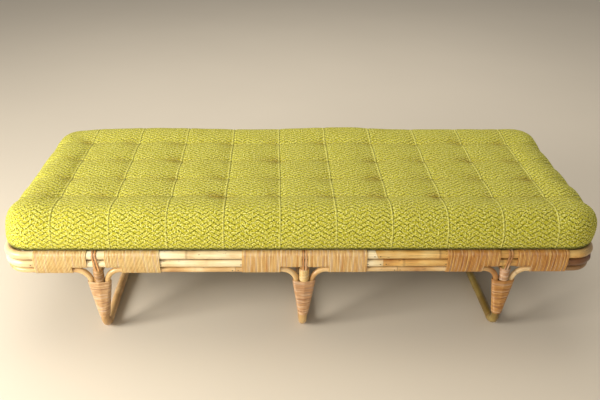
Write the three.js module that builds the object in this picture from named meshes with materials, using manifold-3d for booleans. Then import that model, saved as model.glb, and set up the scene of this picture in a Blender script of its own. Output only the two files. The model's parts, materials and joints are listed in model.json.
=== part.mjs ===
// A rattan daybed: two bent rail rings on three sled legs, cane braces, wrappings of rattan
// peel, a slatted deck and a loose mattress. Millimetres, +Z up, +X along the bed, the front
// at -Y, and the origin on the floor under the middle of the bed.
import * as THREE from 'three';
import { mergeVertices } from 'three/addons/utils/BufferGeometryUtils.js';
import { ConvexGeometry } from 'three/addons/geometries/ConvexGeometry.js';
import Module from 'manifold-3d';

const wasm = await Module();
wasm.setup();

// ---- Overall sizes ----
const LENGTH = 1900;            // over the rails, end to end
const WIDTH = 755;              // over the rails, front to back
const LEG_HEIGHT = 257;         // floor to the underside of the lower rail
const MATTRESS_THICKNESS = 138;

// ---- Rattan stock ----
const POLE = 28;                // diameter of rails, sleds, spine and cross bars
const CANE = 18;                // diameter of braces, ledgers and slats
const PEEL = 2;                 // thickness of a layer of wound peel
const CLEAR = 0.3;              // gap between pieces that touch

// ---- Rails ----
const RAIL_GAP = 1;             // daylight between the two rails
const CORNER_BEND = 66;         // bend of the rails' centreline at the corners
const TOP_JOINT_X = 230;        // where the two halves of the top rail meet
const LOWER_JOINT_X = 250;
const TOP_JOINT_SLANT = THREE.MathUtils.degToRad(25);
const LOWER_JOINT_SLANT = 0;

// ---- Legs ----
const LEG_INSET = 298;          // end of the bed to the middle of an outer leg
const SLED_BEND = 45;           // bend of a sled's centreline at the floor
const COPE_DEPTH = 7;           // how far a post's top laps up the sides of the rail

// ---- Braces ----
const BRACE_SPREAD = 1;         // spare room between a brace and the sleeve of its post
const BRACE_FOOT_HEIGHT = 88;   // lower, shaved end of a brace above the floor
const BRACE_SHOULDER = 1.5;     // straight run of a brace before the deep rail wrap starts
const LEFT_BRACE_JOINT_X = -220;
const RIGHT_BRACE_JOINT_X = 298;

// ---- Wrappings of peel ----
const CONE_DROP = 53;           // from the underside of the lower rail to the top of the cone
const CONE_FOOT = 69;           // lower end of the cone above the floor
const CONE_FOOT_EASE = 1.2;     // room round the post inside the foot of the cone
const SLEEVE_DROP = 8;          // from the underside of the lower rail to the sleeve above the cone
const WRAP_STEP = 76;           // from the leg to where a rail wrap starts to hold the brace too
const WRAP_END = 198;
const OUTER_WRAP_START = 28;    // bare rail left beside the outer legs
const MIDDLE_WRAP_START = 9;
const BINDING_WIDTH = 16;
const BINDING_DROP = 7;         // how far a binding hangs below the underside of the lower rail

// ---- Deck ----
const SLAT_COUNT = 11;
const SLAT_END_SPACE = 20;      // first slat to where the rail's corner bend starts

// ---- Mattress ----
const MATTRESS_INSET = 11;      // outside of the rail to the side of the mattress
const CORNER_SLACK = 25;        // how much rounder the mattress corner is than the rail's
const COVER_THICKNESS = 3;
const ZIP_LENGTH = 1000;
const ZIP_WIDTH = 8;

// ---- Fineness of the round shapes ----
const POLE_SIDES = 12;
const CANE_SIDES = 8;
const BEND_STEPS = 6;
const EDGE_STEPS = 5;
const OVERCUT = 1;

// ---- Places worked out from the sizes ----
const RAIL_X = LENGTH / 2 - POLE / 2;
const RAIL_Y = WIDTH / 2 - POLE / 2;
const LOWER_RAIL_Z = LEG_HEIGHT + POLE / 2;
const TOP_RAIL_Z = LOWER_RAIL_Z + POLE + RAIL_GAP;
const WRAPPED_POLE = POLE + 2 * (CLEAR + PEEL);
const BORED_POLE = POLE + 2 * CLEAR;
const BORED_CANE = CANE + 2 * CLEAR;
const CONE_TOP = LEG_HEIGHT - CONE_DROP;
const SLEEVE_TOP = LEG_HEIGHT - SLEEVE_DROP;
const BINDING_FOOT = LEG_HEIGHT - BINDING_DROP;
const BRACE_Z = LOWER_RAIL_Z - WRAPPED_POLE / 2 - CLEAR - CANE / 2;
const BRACE_OFFSET = WRAPPED_POLE / 2 + CLEAR + CANE / 2 + BRACE_SPREAD;
const BRACE_FOOT_OFFSET = BORED_POLE / 2 + CLEAR + CANE / 2;
const LEDGER_Y = RAIL_Y - WRAPPED_POLE / 2 - CLEAR - CANE / 2;
const DECK_HALF_WIDTH = RAIL_Y - WRAPPED_POLE / 2 - CLEAR;
const SLAT_Z = LOWER_RAIL_Z + CANE + CLEAR;
const SPINE_Z = SLAT_Z - CANE / 2 - CLEAR - POLE / 2;
const CROSS_BAR_Z = SPINE_Z - POLE - CLEAR;
const MATTRESS_BASE = SLAT_Z + CANE / 2 + CLEAR;
const LEG_X = { left: LEG_INSET - LENGTH / 2, middle: 0, right: LENGTH / 2 - LEG_INSET };
const SIDES = { front: -1, rear: 1 };

// ---- Materials ----
function finish(color, roughness) {
  return new THREE.MeshStandardMaterial({ color, roughness, metalness: 0 });
}

const MATERIALS = {
  rail: finish('#dcb873', 0.38),
  sled: finish('#c9954f', 0.4),
  brace: finish('#d6ab68', 0.4),
  peel: finish('#b9793a', 0.5),
  binding: finish('#cc9650', 0.5),
  deck: finish('#c39a5e', 0.6),
  fabric: finish('#c4b92f', 0.95),
  foam: finish('#e9e0c4', 1.0),
};

// ---- Closed solids ----
function toSolid(geometry) {
  const bare = geometry.clone();
  bare.deleteAttribute('normal');
  bare.deleteAttribute('uv');
  const merged = mergeVertices(bare, 1e-3);
  return new wasm.Manifold(new wasm.Mesh({
    numProp: 3,
    vertProperties: new Float32Array(merged.attributes.position.array),
    triVerts: new Uint32Array(merged.index.array),
  }));
}

function toGeometry(solid) {
  const mesh = solid.getMesh();
  const geometry = new THREE.BufferGeometry();
  geometry.setAttribute('position', new THREE.BufferAttribute(mesh.vertProperties, 3));
  geometry.setIndex(new THREE.BufferAttribute(mesh.triVerts, 1));
  geometry.computeVertexNormals();
  return geometry;
}

// ---- Paths of bent poles ----

// A path held as stations: two for each straight run and a few for each bend, so that an
// extrusion along it puts its rings only where the pole needs them.
class StationPath extends THREE.Curve {
  constructor(stations) {
    super();
    this.stations = stations;
  }

  stationAt(u) {
    return this.stations[Math.round(u * (this.stations.length - 1))];
  }

  getPointAt(u, target = new THREE.Vector3()) {
    return target.copy(this.stationAt(u).point);
  }

  getTangentAt(u, target = new THREE.Vector3()) {
    return target.copy(this.stationAt(u).tangent);
  }
}

function bendStations(before, corner, after, radius) {
  const arriving = corner.clone().sub(before).normalize();
  const leaving = after.clone().sub(corner).normalize();
  const turn = arriving.angleTo(leaving);
  const start = corner.clone().addScaledVector(arriving, -radius * Math.tan(turn / 2));
  const inward = leaving.clone().addScaledVector(arriving, -Math.cos(turn)).normalize();
  const centre = start.clone().addScaledVector(inward, radius);
  return Array.from({ length: BEND_STEPS + 1 }, (_, step) => {
    const angle = turn * step / BEND_STEPS;
    const point = centre.clone();
    point.addScaledVector(inward, -radius * Math.cos(angle));
    point.addScaledVector(arriving, radius * Math.sin(angle));
    const tangent = arriving.clone().multiplyScalar(Math.cos(angle));
    tangent.addScaledVector(inward, Math.sin(angle));
    return { point, tangent };
  });
}

// The corners are [x, y, z], and each corner between the ends has its bend's radius.
function stationPath(corners, bends) {
  const points = corners.map((corner) => new THREE.Vector3(...corner));
  const last = points.length - 1;
  const stations = [{ point: points[0], tangent: points[1].clone().sub(points[0]).normalize() }];
  for (let i = 1; i < last; i += 1) {
    stations.push(...bendStations(points[i - 1], points[i], points[i + 1], bends[i - 1]));
  }
  const tangent = points[last].clone().sub(points[last - 1]).normalize();
  stations.push({ point: points[last], tangent });
  return new StationPath(stations);
}

// Corners of a regular polygon whose flats touch the circle of this diameter. One flat faces
// each way along both axes of the section.
function roundCorners(diameter, sides) {
  const reach = diameter / 2 / Math.cos(Math.PI / sides);
  return Array.from({ length: sides }, (_, i) => {
    const angle = (i + 0.5) * 2 * Math.PI / sides;
    return [reach * Math.cos(angle), reach * Math.sin(angle)];
  });
}

function rod(corners, bends, diameter, sides) {
  const outline = roundCorners(diameter, sides).map(([x, y]) => new THREE.Vector2(x, y));
  const path = stationPath(corners, bends);
  return toSolid(new THREE.ExtrudeGeometry(new THREE.Shape(outline), {
    steps: path.stations.length - 1,
    extrudePath: path,
  }));
}

function pole(corners, bends = [], diameter = POLE) {
  return rod(corners, bends, diameter, POLE_SIDES);
}

function cane(corners, bends = [], diameter = CANE) {
  return rod(corners, bends, diameter, CANE_SIDES);
}

// ---- Shells drawn tight round several rods ----
function hull(points) {
  return toSolid(new ConvexGeometry(points));
}

function levelRing(x, z, diameter, sides) {
  return roundCorners(diameter, sides).map(([u, v]) => new THREE.Vector3(x + u, v, z));
}

function uprightRing(x, z, diameter, sides) {
  return roundCorners(diameter, sides).map(([u, v]) => new THREE.Vector3(x, u, z + v));
}

// ---- Rails ----

// The solid that takes away everything past a joint. It keeps the half on the given end.
function jointCutter(end, jointX, slant, z) {
  const block = new THREE.BoxGeometry(LENGTH, 2 * WIDTH, 4 * POLE);
  block.translate(-end * (LENGTH / 2 - CLEAR / 2), 0, 0);
  block.rotateY(-slant);
  block.translate(jointX, 0, z);
  return toSolid(block);
}

function railHalf(end, z, jointX, slant) {
  const past = jointX - end * 2 * POLE;
  const corners = [
    [past, -RAIL_Y, z],
    [end * RAIL_X, -RAIL_Y, z],
    [end * RAIL_X, RAIL_Y, z],
    [past, RAIL_Y, z],
  ];
  return pole(corners, [CORNER_BEND, CORNER_BEND]).subtract(jointCutter(end, jointX, slant, z));
}

// ---- Sled legs ----
function sled() {
  const top = LEG_HEIGHT + COPE_DEPTH;
  const corners = [[0, -RAIL_Y, top], [0, -RAIL_Y, POLE / 2], [0, RAIL_Y, POLE / 2], [0, RAIL_Y, top]];
  let solid = pole(corners, [SLED_BEND, SLED_BEND]);
  for (const side of Object.values(SIDES)) {
    const ends = [[-POLE, side * RAIL_Y, LOWER_RAIL_Z], [POLE, side * RAIL_Y, LOWER_RAIL_Z]];
    solid = solid.subtract(pole(ends, [], BORED_POLE));
  }
  return solid;
}

function crossBar() {
  return pole([[0, -DECK_HALF_WIDTH, CROSS_BAR_Z], [0, DECK_HALF_WIDTH, CROSS_BAR_Z]]);
}

// ---- Braces ----

// Inside of the cone of peel, drawn in by a margin: it holds the post and both braces.
function coneInside(margin) {
  const poleBore = BORED_POLE - 2 * margin;
  const caneBore = BORED_CANE - 2 * margin;
  const footBore = poleBore + 2 * CONE_FOOT_EASE;
  return hull([
    ...[CONE_TOP, CONE_TOP + OVERCUT].flatMap((z) => [
      ...levelRing(0, z, poleBore, POLE_SIDES),
      ...levelRing(-BRACE_OFFSET, z, caneBore, CANE_SIDES),
      ...levelRing(BRACE_OFFSET, z, caneBore, CANE_SIDES),
    ]),
    ...levelRing(0, CONE_FOOT, footBore, POLE_SIDES),
    ...levelRing(0, CONE_FOOT - OVERCUT, footBore, POLE_SIDES),
  ]);
}

// Takes away what would stand out of the cone of peel, so that a brace's foot ends in a long
// shaved taper.
function braceShaver() {
  const block = new THREE.BoxGeometry(8 * POLE, 4 * POLE, CONE_TOP);
  block.translate(0, 0, CONE_TOP / 2);
  return toSolid(block).subtract(coneInside(CLEAR));
}

// Where a brace turns: its lean is carried on up to the height of its level run.
function braceTurn() {
  const rise = CONE_TOP - BRACE_FOOT_HEIGHT;
  const lean = (BRACE_OFFSET - BRACE_FOOT_OFFSET) / rise;
  const offset = BRACE_OFFSET + lean * (BRACE_Z - CONE_TOP);
  const turn = Math.PI / 2 - Math.atan(lean);
  const radius = (WRAP_STEP - BRACE_SHOULDER - offset) / Math.tan(turn / 2);
  return { offset, radius };
}

// A brace from one leg to the place where the next length meets it, in the leg's own frame.
function bayBrace(reach) {
  const { offset, radius } = braceTurn();
  const way = Math.sign(reach);
  const corners = [
    [way * BRACE_FOOT_OFFSET, 0, BRACE_FOOT_HEIGHT],
    [way * offset, 0, BRACE_Z],
    [reach - way * CLEAR / 2, 0, BRACE_Z],
  ];
  return cane(corners, [radius]).subtract(braceShaver());
}

// One brace goes round the end of the bed, from the front post to the rear post.
function endBrace(end) {
  const { offset, radius } = braceTurn();
  const legX = end * LEG_X.right;
  const corners = [
    [legX + end * BRACE_FOOT_OFFSET, -RAIL_Y, BRACE_FOOT_HEIGHT],
    [legX + end * offset, -RAIL_Y, BRACE_Z],
    [end * RAIL_X, -RAIL_Y, BRACE_Z],
    [end * RAIL_X, RAIL_Y, BRACE_Z],
    [legX + end * offset, RAIL_Y, BRACE_Z],
    [legX + end * BRACE_FOOT_OFFSET, RAIL_Y, BRACE_FOOT_HEIGHT],
  ];
  let solid = cane(corners, [radius, CORNER_BEND, CORNER_BEND, radius]);
  for (const side of Object.values(SIDES)) {
    solid = solid.subtract(braceShaver().translate([legX, side * RAIL_Y, 0]));
  }
  return solid;
}

// ---- Wrappings of peel ----
function legWrap() {
  const outside = hull([
    ...levelRing(0, CONE_TOP, WRAPPED_POLE, POLE_SIDES),
    ...levelRing(-BRACE_OFFSET, CONE_TOP, BORED_CANE + 2 * PEEL, CANE_SIDES),
    ...levelRing(BRACE_OFFSET, CONE_TOP, BORED_CANE + 2 * PEEL, CANE_SIDES),
    ...levelRing(0, CONE_FOOT, WRAPPED_POLE + 2 * CONE_FOOT_EASE, POLE_SIDES),
  ]);
  const sleeve = pole([[0, 0, CONE_TOP - POLE], [0, 0, SLEEVE_TOP]], [], WRAPPED_POLE);
  const bore = pole([[0, 0, CONE_FOOT - POLE], [0, 0, SLEEVE_TOP + OVERCUT]], [], BORED_POLE);
  return outside.add(sleeve).subtract(coneInside(0)).subtract(bore);
}

// Rings round the two rails, and round the brace under them where the wrap is deep.
function wrapRings(x, layer, deep) {
  const rings = [
    ...uprightRing(x, TOP_RAIL_Z, BORED_POLE + 2 * layer, POLE_SIDES),
    ...uprightRing(x, LOWER_RAIL_Z, BORED_POLE + 2 * layer, POLE_SIDES),
  ];
  if (deep) {
    rings.push(...uprightRing(x, BRACE_Z, BORED_CANE + 2 * layer, CANE_SIDES));
  }
  return rings;
}

function wrapTube(from, to, deep) {
  const way = Math.sign(to - from);
  const outside = hull([...wrapRings(from, PEEL, deep), ...wrapRings(to, PEEL, deep)]);
  const inside = hull([
    ...wrapRings(from - way * OVERCUT, 0, deep),
    ...wrapRings(to + way * OVERCUT, 0, deep),
  ]);
  return outside.subtract(inside);
}

function railWrap(way, start) {
  const shallow = wrapTube(way * start, way * (WRAP_STEP + OVERCUT), false);
  const deep = wrapTube(way * WRAP_STEP, way * WRAP_END, true);
  const post = pole([[0, 0, CONE_TOP], [0, 0, LOWER_RAIL_Z]], [], BORED_POLE + 2 * CLEAR);
  return shallow.add(deep).subtract(post);
}

// Two strands of peel over both rails, made as one strap.
function postBinding() {
  const strap = (layer, halfWidth, foot) => {
    const halfDepth = BORED_POLE / 2 + layer;
    return hull([-halfWidth, halfWidth].flatMap((x) => [
      ...uprightRing(x, TOP_RAIL_Z, 2 * halfDepth, POLE_SIDES),
      new THREE.Vector3(x, -halfDepth, foot),
      new THREE.Vector3(x, halfDepth, foot),
    ]));
  };
  const outside = strap(PEEL, BINDING_WIDTH / 2, BINDING_FOOT);
  return outside.subtract(strap(0, BINDING_WIDTH / 2 + OVERCUT, BINDING_FOOT - OVERCUT));
}

// ---- Deck ----
function lengthwise(rodMaker, halfLength, y, z) {
  return rodMaker([[-halfLength, y, z], [halfLength, y, z]]);
}

function slat(x) {
  return cane([[x, -DECK_HALF_WIDTH, SLAT_Z], [x, DECK_HALF_WIDTH, SLAT_Z]]);
}

// ---- Mattress ----

// Radius of the mattress's long edges: its lower edge is rounded just enough to clear the
// wrapped top rail that it sits against.
function edgeRadius() {
  const across = POLE / 2 - MATTRESS_INSET;
  const above = TOP_RAIL_Z - MATTRESS_BASE;
  const reach = WRAPPED_POLE / 2 / Math.cos(Math.PI / POLE_SIDES) + CLEAR;
  const sum = across + above + reach;
  return sum + Math.sqrt(sum ** 2 - across ** 2 - above ** 2 + reach ** 2);
}

function roundedPlan(halfLength, halfWidth, corner) {
  const plan = new THREE.Shape();
  plan.absarc(halfLength - corner, halfWidth - corner, corner, 0, Math.PI / 2);
  plan.absarc(corner - halfLength, halfWidth - corner, corner, Math.PI / 2, Math.PI);
  plan.absarc(corner - halfLength, corner - halfWidth, corner, Math.PI, 1.5 * Math.PI);
  plan.absarc(halfLength - corner, corner - halfWidth, corner, 1.5 * Math.PI, 2 * Math.PI);
  return plan;
}

// The mattress's outer shape, drawn in on every side by an inset.
function mattressBody(inset) {
  const edge = edgeRadius() - inset;
  const overhang = POLE / 2 - MATTRESS_INSET;
  const corner = CORNER_BEND + overhang + CORNER_SLACK - inset - edge;
  const plan = roundedPlan(
    LENGTH / 2 - MATTRESS_INSET - inset - edge,
    WIDTH / 2 - MATTRESS_INSET - inset - edge,
    corner,
  );
  const body = new THREE.ExtrudeGeometry(plan, {
    depth: MATTRESS_THICKNESS - 2 * inset - 2 * edge,
    bevelThickness: edge,
    bevelSize: edge,
    bevelSegments: EDGE_STEPS,
    curveSegments: EDGE_STEPS,
  });
  body.translate(0, 0, MATTRESS_BASE + inset + edge);
  return toSolid(body);
}

function mattressCover() {
  const zip = new THREE.BoxGeometry(ZIP_LENGTH, ZIP_WIDTH, 4 * COVER_THICKNESS);
  const zipY = WIDTH / 2 - MATTRESS_INSET - edgeRadius() - 2 * ZIP_WIDTH;
  zip.translate(0, zipY, MATTRESS_BASE);
  return mattressBody(0).subtract(mattressBody(COVER_THICKNESS)).subtract(toSolid(zip));
}

// ---- Assembly ----
const daybed = new THREE.Group();

function place(name, solid, material, parent = daybed) {
  const mesh = new THREE.Mesh(toGeometry(solid), material);
  mesh.name = name;
  parent.add(mesh);
}

function groupAt(x, y) {
  const group = new THREE.Group();
  group.position.set(x, y, 0);
  daybed.add(group);
  return group;
}

function addRails() {
  for (const [name, end] of [['left', -1], ['right', 1]]) {
    const top = railHalf(end, TOP_RAIL_Z, TOP_JOINT_X, TOP_JOINT_SLANT);
    const lower = railHalf(end, LOWER_RAIL_Z, LOWER_JOINT_X, LOWER_JOINT_SLANT);
    place(`top_rail_${name}`, top, MATERIALS.rail);
    place(`lower_rail_${name}`, lower, MATERIALS.rail);
    place(`brace_end_${name}`, endBrace(end), MATERIALS.brace);
  }
}

function addSled(name, x) {
  const group = groupAt(x, 0);
  place(`sled_${name}`, sled(), MATERIALS.sled, group);
  place(`cross_bar_${name}`, crossBar(), MATERIALS.deck, group);
}

// What is wound round one post and the rails above it.
function addWrappings(name, x, y) {
  const start = name.endsWith('middle') ? MIDDLE_WRAP_START : OUTER_WRAP_START;
  const group = groupAt(x, y);
  place(`leg_wrap_${name}`, legWrap(), MATERIALS.peel, group);
  place(`rail_wrap_${name}_l`, railWrap(-1, start), MATERIALS.peel, group);
  place(`rail_wrap_${name}_r`, railWrap(1, start), MATERIALS.peel, group);
  place(`post_binding_${name}`, postBinding(), MATERIALS.binding, group);
}

// Two lengths of cane meet in each middle bay.
function addBayBraces(side, y) {
  const bays = [['left', LEFT_BRACE_JOINT_X], ['right', RIGHT_BRACE_JOINT_X]];
  for (const [bay, jointX] of bays) {
    const outer = bayBrace(jointX - LEG_X[bay]);
    const inner = bayBrace(jointX - LEG_X.middle);
    place(`brace_${side}_${bay}_outer`, outer, MATERIALS.brace, groupAt(LEG_X[bay], y));
    place(`brace_${side}_${bay}_inner`, inner, MATERIALS.brace, groupAt(LEG_X.middle, y));
  }
}

function addDeck() {
  const ledgerHalf = RAIL_X - CORNER_BEND;
  const spineHalf = RAIL_X - POLE / 2 - CLEAR;
  place('ledger_front', lengthwise(cane, ledgerHalf, -LEDGER_Y, LOWER_RAIL_Z), MATERIALS.deck);
  place('ledger_rear', lengthwise(cane, ledgerHalf, LEDGER_Y, LOWER_RAIL_Z), MATERIALS.deck);
  place('spine', lengthwise(pole, spineHalf, 0, SPINE_Z), MATERIALS.deck);
  const lastSlat = ledgerHalf - SLAT_END_SPACE;
  for (let i = 0; i < SLAT_COUNT; i += 1) {
    const x = THREE.MathUtils.lerp(-lastSlat, lastSlat, i / (SLAT_COUNT - 1));
    place(`slat_${String(i + 1).padStart(2, '0')}`, slat(x), MATERIALS.deck);
  }
}

function addMattress() {
  place('mattress_core', mattressBody(COVER_THICKNESS + CLEAR), MATERIALS.foam);
  place('mattress_cover', mattressCover(), MATERIALS.fabric);
}

addRails();
for (const [name, x] of Object.entries(LEG_X)) {
  addSled(name, x);
  for (const [side, sign] of Object.entries(SIDES)) {
    addWrappings(`${side}_${name}`, x, sign * RAIL_Y);
  }
}
for (const [side, sign] of Object.entries(SIDES)) {
  addBayBraces(side, sign * RAIL_Y);
}
addDeck();
addMattress();

export default daybed;
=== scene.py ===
"""Looks of a rattan daybed: bent poles, wound peel, a slatted deck and a tufted mattress.

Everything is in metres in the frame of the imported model: +X along the bed, the front at -Y
and the floor at z = 0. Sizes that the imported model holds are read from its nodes' boxes.
"""

import json
import logging
import math
from dataclasses import dataclass, field
from enum import Enum
from functools import partial
from typing import Any, Callable, Iterator, Sequence

import bpy
import numpy as np
from mathutils import Matrix, Vector, noise

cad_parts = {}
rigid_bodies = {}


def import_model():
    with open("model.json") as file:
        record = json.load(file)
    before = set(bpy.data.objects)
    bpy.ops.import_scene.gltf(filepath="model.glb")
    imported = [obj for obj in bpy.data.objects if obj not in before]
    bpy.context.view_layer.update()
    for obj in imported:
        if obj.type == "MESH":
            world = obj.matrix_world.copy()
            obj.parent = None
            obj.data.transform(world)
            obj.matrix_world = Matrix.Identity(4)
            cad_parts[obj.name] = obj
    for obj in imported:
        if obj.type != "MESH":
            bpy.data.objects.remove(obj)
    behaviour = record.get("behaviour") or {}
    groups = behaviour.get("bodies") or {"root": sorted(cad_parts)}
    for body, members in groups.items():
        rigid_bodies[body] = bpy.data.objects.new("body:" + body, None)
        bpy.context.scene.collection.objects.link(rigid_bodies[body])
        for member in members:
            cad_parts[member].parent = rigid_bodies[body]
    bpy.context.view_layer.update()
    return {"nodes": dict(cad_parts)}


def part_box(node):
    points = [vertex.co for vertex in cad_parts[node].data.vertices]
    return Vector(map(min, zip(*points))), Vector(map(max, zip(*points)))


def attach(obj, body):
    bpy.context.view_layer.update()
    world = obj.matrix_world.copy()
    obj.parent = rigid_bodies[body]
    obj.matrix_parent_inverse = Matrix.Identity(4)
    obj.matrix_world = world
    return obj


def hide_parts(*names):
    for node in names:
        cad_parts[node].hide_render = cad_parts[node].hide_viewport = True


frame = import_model()

MM = 0.001
Point = tuple[float, float, float]
Outline = list[tuple[tuple[float, float], tuple[float, float]]]
Strand = tuple[np.ndarray, int]
Inputs = dict[int | str, Any]
Adder = Callable[..., bpy.types.Node]
Node = bpy.types.Node
Socket = bpy.types.NodeSocket
Material = bpy.types.Material
Mesh = bpy.types.Mesh
Piece = bpy.types.Object

logging.basicConfig(level=logging.INFO, format="%(message)s")
log = logging.getLogger("daybed")


# ---------------------------------------------------------------------------------------
# Small helpers
# ---------------------------------------------------------------------------------------


def linear(hex_colour: str) -> tuple[float, float, float, float]:
    """Turn an sRGB hex colour into linear RGBA.

    Args:
        hex_colour: Six hex digits after a hash.

    Returns:
        Red, green, blue and alpha, each from 0 to 1.
    """
    values = [int(hex_colour[i : i + 2], 16) / 255 for i in (1, 3, 5)]
    shares = [v / 12.92 if v <= 0.04045 else ((v + 0.055) / 1.055) ** 2.4 for v in values]
    return (shares[0], shares[1], shares[2], 1.0)


def fill(node: Node, inputs: Inputs) -> None:
    """Set or link a node's inputs.

    Args:
        node: The node.
        inputs: For each input, by index or name, a value, a socket, or a node whose first
            output is linked.
    """
    for key, value in inputs.items():
        if isinstance(value, Node):
            value = value.outputs[0]
        if isinstance(value, Socket):
            node.id_data.links.new(value, node.inputs[key])
        else:
            node.inputs[key].default_value = value


def add_node(tree: bpy.types.NodeTree, kind: str, inputs: Inputs | None = None, **settings: Any) -> Node:
    """Add one node, set it up and fill or link its inputs.

    Args:
        tree: The shader or geometry tree that the node goes in.
        kind: The node's type name. A shader node's may leave out ShaderNode.
        inputs: What each input gets, as fill takes it.
        **settings: The node's own properties.

    Returns:
        The new node.
    """
    node = tree.nodes.new(kind if "Node" in kind else f"ShaderNode{kind}")
    for name, value in settings.items():
        setattr(node, name, value)
    fill(node, inputs or {})
    return node


def in_scene(name: str, data: bpy.types.ID) -> Piece:
    """Put a mesh, curve, light or camera in the scene.

    Args:
        name: The object's name.
        data: What the object shows.

    Returns:
        The object.
    """
    made = bpy.data.objects.new(name, data)
    bpy.context.scene.collection.objects.link(made)
    return made


def new_mesh_object(name: str, mesh: Mesh) -> Piece:
    """Put a mesh in the scene, named as its object, and return the object."""
    mesh.name = name
    return in_scene(name, mesh)


def read_places(mesh: Mesh) -> np.ndarray:
    """Read a mesh's vertices, one row each.

    Args:
        mesh: The mesh.

    Returns:
        The vertices' places.
    """
    flat = np.empty(len(mesh.vertices) * 3)
    mesh.vertices.foreach_get("co", flat)
    return flat.reshape(-1, 3)


def write_places(mesh: Mesh, places: np.ndarray) -> None:
    """Write a mesh's vertices back from one row each."""
    mesh.vertices.foreach_set("co", places.ravel())
    mesh.update()


def store_shade(piece: Piece, name: str, values: np.ndarray) -> None:
    """Store a number on each vertex of a piece for its finish to read."""
    piece.data.attributes.new(name, "FLOAT", "POINT").data.foreach_set("value", values)


def plain_mesh(piece: Piece) -> Mesh:
    """Take the mesh that a piece's modifiers give.

    Args:
        piece: The object with its modifiers.

    Returns:
        A new mesh with every layer of data.
    """
    graph = bpy.context.evaluated_depsgraph_get()
    return bpy.data.meshes.new_from_object(
        piece.evaluated_get(graph), preserve_all_data_layers=True, depsgraph=graph
    )


def bell(distance: np.ndarray, width: float) -> np.ndarray:
    """Give a bell curve that is 1 at no distance and fades over a width."""
    return np.exp(-((distance / width) ** 2))


def climb(values: np.ndarray, start: float, length: float) -> np.ndarray:
    """Give 0 up to a start, then a straight climb over a length to 1."""
    return np.clip((values - start) / length, 0, 1)


def settle(piece: Piece, body: str, slot: str, *nodes: str) -> None:
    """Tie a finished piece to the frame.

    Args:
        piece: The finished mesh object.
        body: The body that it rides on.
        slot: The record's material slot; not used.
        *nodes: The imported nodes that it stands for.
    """
    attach(piece, body)
    if nodes:
        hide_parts(*nodes)
    log.info("%s: %d faces", piece.name, len(piece.data.polygons))


# ---------------------------------------------------------------------------------------
# The frame's sizes
# ---------------------------------------------------------------------------------------


class Side(Enum):
    """The two long sides of the bed, by the sign of Y."""

    FRONT = -1
    REAR = 1

    @property
    def label(self) -> str:
        """The side's word in node names."""
        return self.name.lower()


class End(Enum):
    """The two ends of the bed, by the sign of X."""

    LEFT = -1
    RIGHT = 1

    @property
    def label(self) -> str:
        """The end's word in node names."""
        return self.name.lower()


LEGS = ("left", "middle", "right")


@dataclass(frozen=True)
class Layout:
    """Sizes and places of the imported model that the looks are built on."""

    rail_x: float
    rail_y: float
    top_z: float
    lower_z: float
    pole: float
    cane: float
    brace_z: float
    brace_offset: float
    cone_top: float
    cone_foot: float
    sleeve_top: float
    binding_foot: float
    corner_bend: float = 66 * MM
    sled_bend: float = 45 * MM
    step_from_leg: float = 76 * MM
    joint_gap: float = 0.8 * MM
    clear: float = 0.3 * MM

    @classmethod
    def from_frame(cls) -> "Layout":
        """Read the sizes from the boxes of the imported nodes.

        Returns:
            The layout.
        """
        top_low, top_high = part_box("top_rail_left")
        lower_low, lower_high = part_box("lower_rail_left")
        brace_low, brace_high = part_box("brace_front_left_outer")
        wrap_low, wrap_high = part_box("leg_wrap_front_middle")
        pole = (lower_high.z - lower_low.z) / 2
        cane = (brace_high.y - brace_low.y) / 2
        peel_side = 2.3 * MM
        sleeve_height = 45 * MM
        return cls(
            rail_x=-top_low.x - pole, rail_y=top_high.y - pole, top_z=(top_low.z + top_high.z) / 2,
            lower_z=(lower_low.z + lower_high.z) / 2, pole=pole, cane=cane,
            brace_z=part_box("rail_wrap_front_middle_r")[0].z + peel_side + cane,
            brace_offset=wrap_high.x - peel_side - cane, cone_top=wrap_high.z - sleeve_height,
            cone_foot=wrap_low.z, sleeve_top=wrap_high.z,
            binding_foot=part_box("post_binding_front_middle")[0].z
        )

    @property
    def mid_z(self) -> float:
        """The height halfway between the two rails."""
        return (self.top_z + self.lower_z) / 2

    def leg_x(self, name: str) -> float:
        """Return the X of the middle of a sled leg."""
        low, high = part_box(f"sled_{name}")
        return (low.x + high.x) / 2


# ---------------------------------------------------------------------------------------
# Finishes
# ---------------------------------------------------------------------------------------


def shader(name: str) -> tuple[Material, Adder, Node]:
    """Make a node material.

    Args:
        name: The material's name.

    Returns:
        The material, add_node for its tree, and its Principled BSDF.
    """
    material = bpy.data.materials.new(name)
    material.use_nodes = True
    tree = material.node_tree
    return material, partial(add_node, tree), tree.nodes["Principled BSDF"]


def spread_tones(ramp: bpy.types.ColorRamp, low: float, colours: Sequence[str]) -> None:
    """Spread three colours over a ramp, evenly about its middle.

    Args:
        ramp: The ramp.
        low: The place of the first colour, from 0 to 0.5.
        colours: The three colours.
    """
    first, middle, last = colours
    ramp.elements[0].position, ramp.elements[1].position = low, 1 - low
    ramp.elements[0].color, ramp.elements[1].color = linear(first), linear(last)
    ramp.elements.new(0.5).color = linear(middle)


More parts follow.
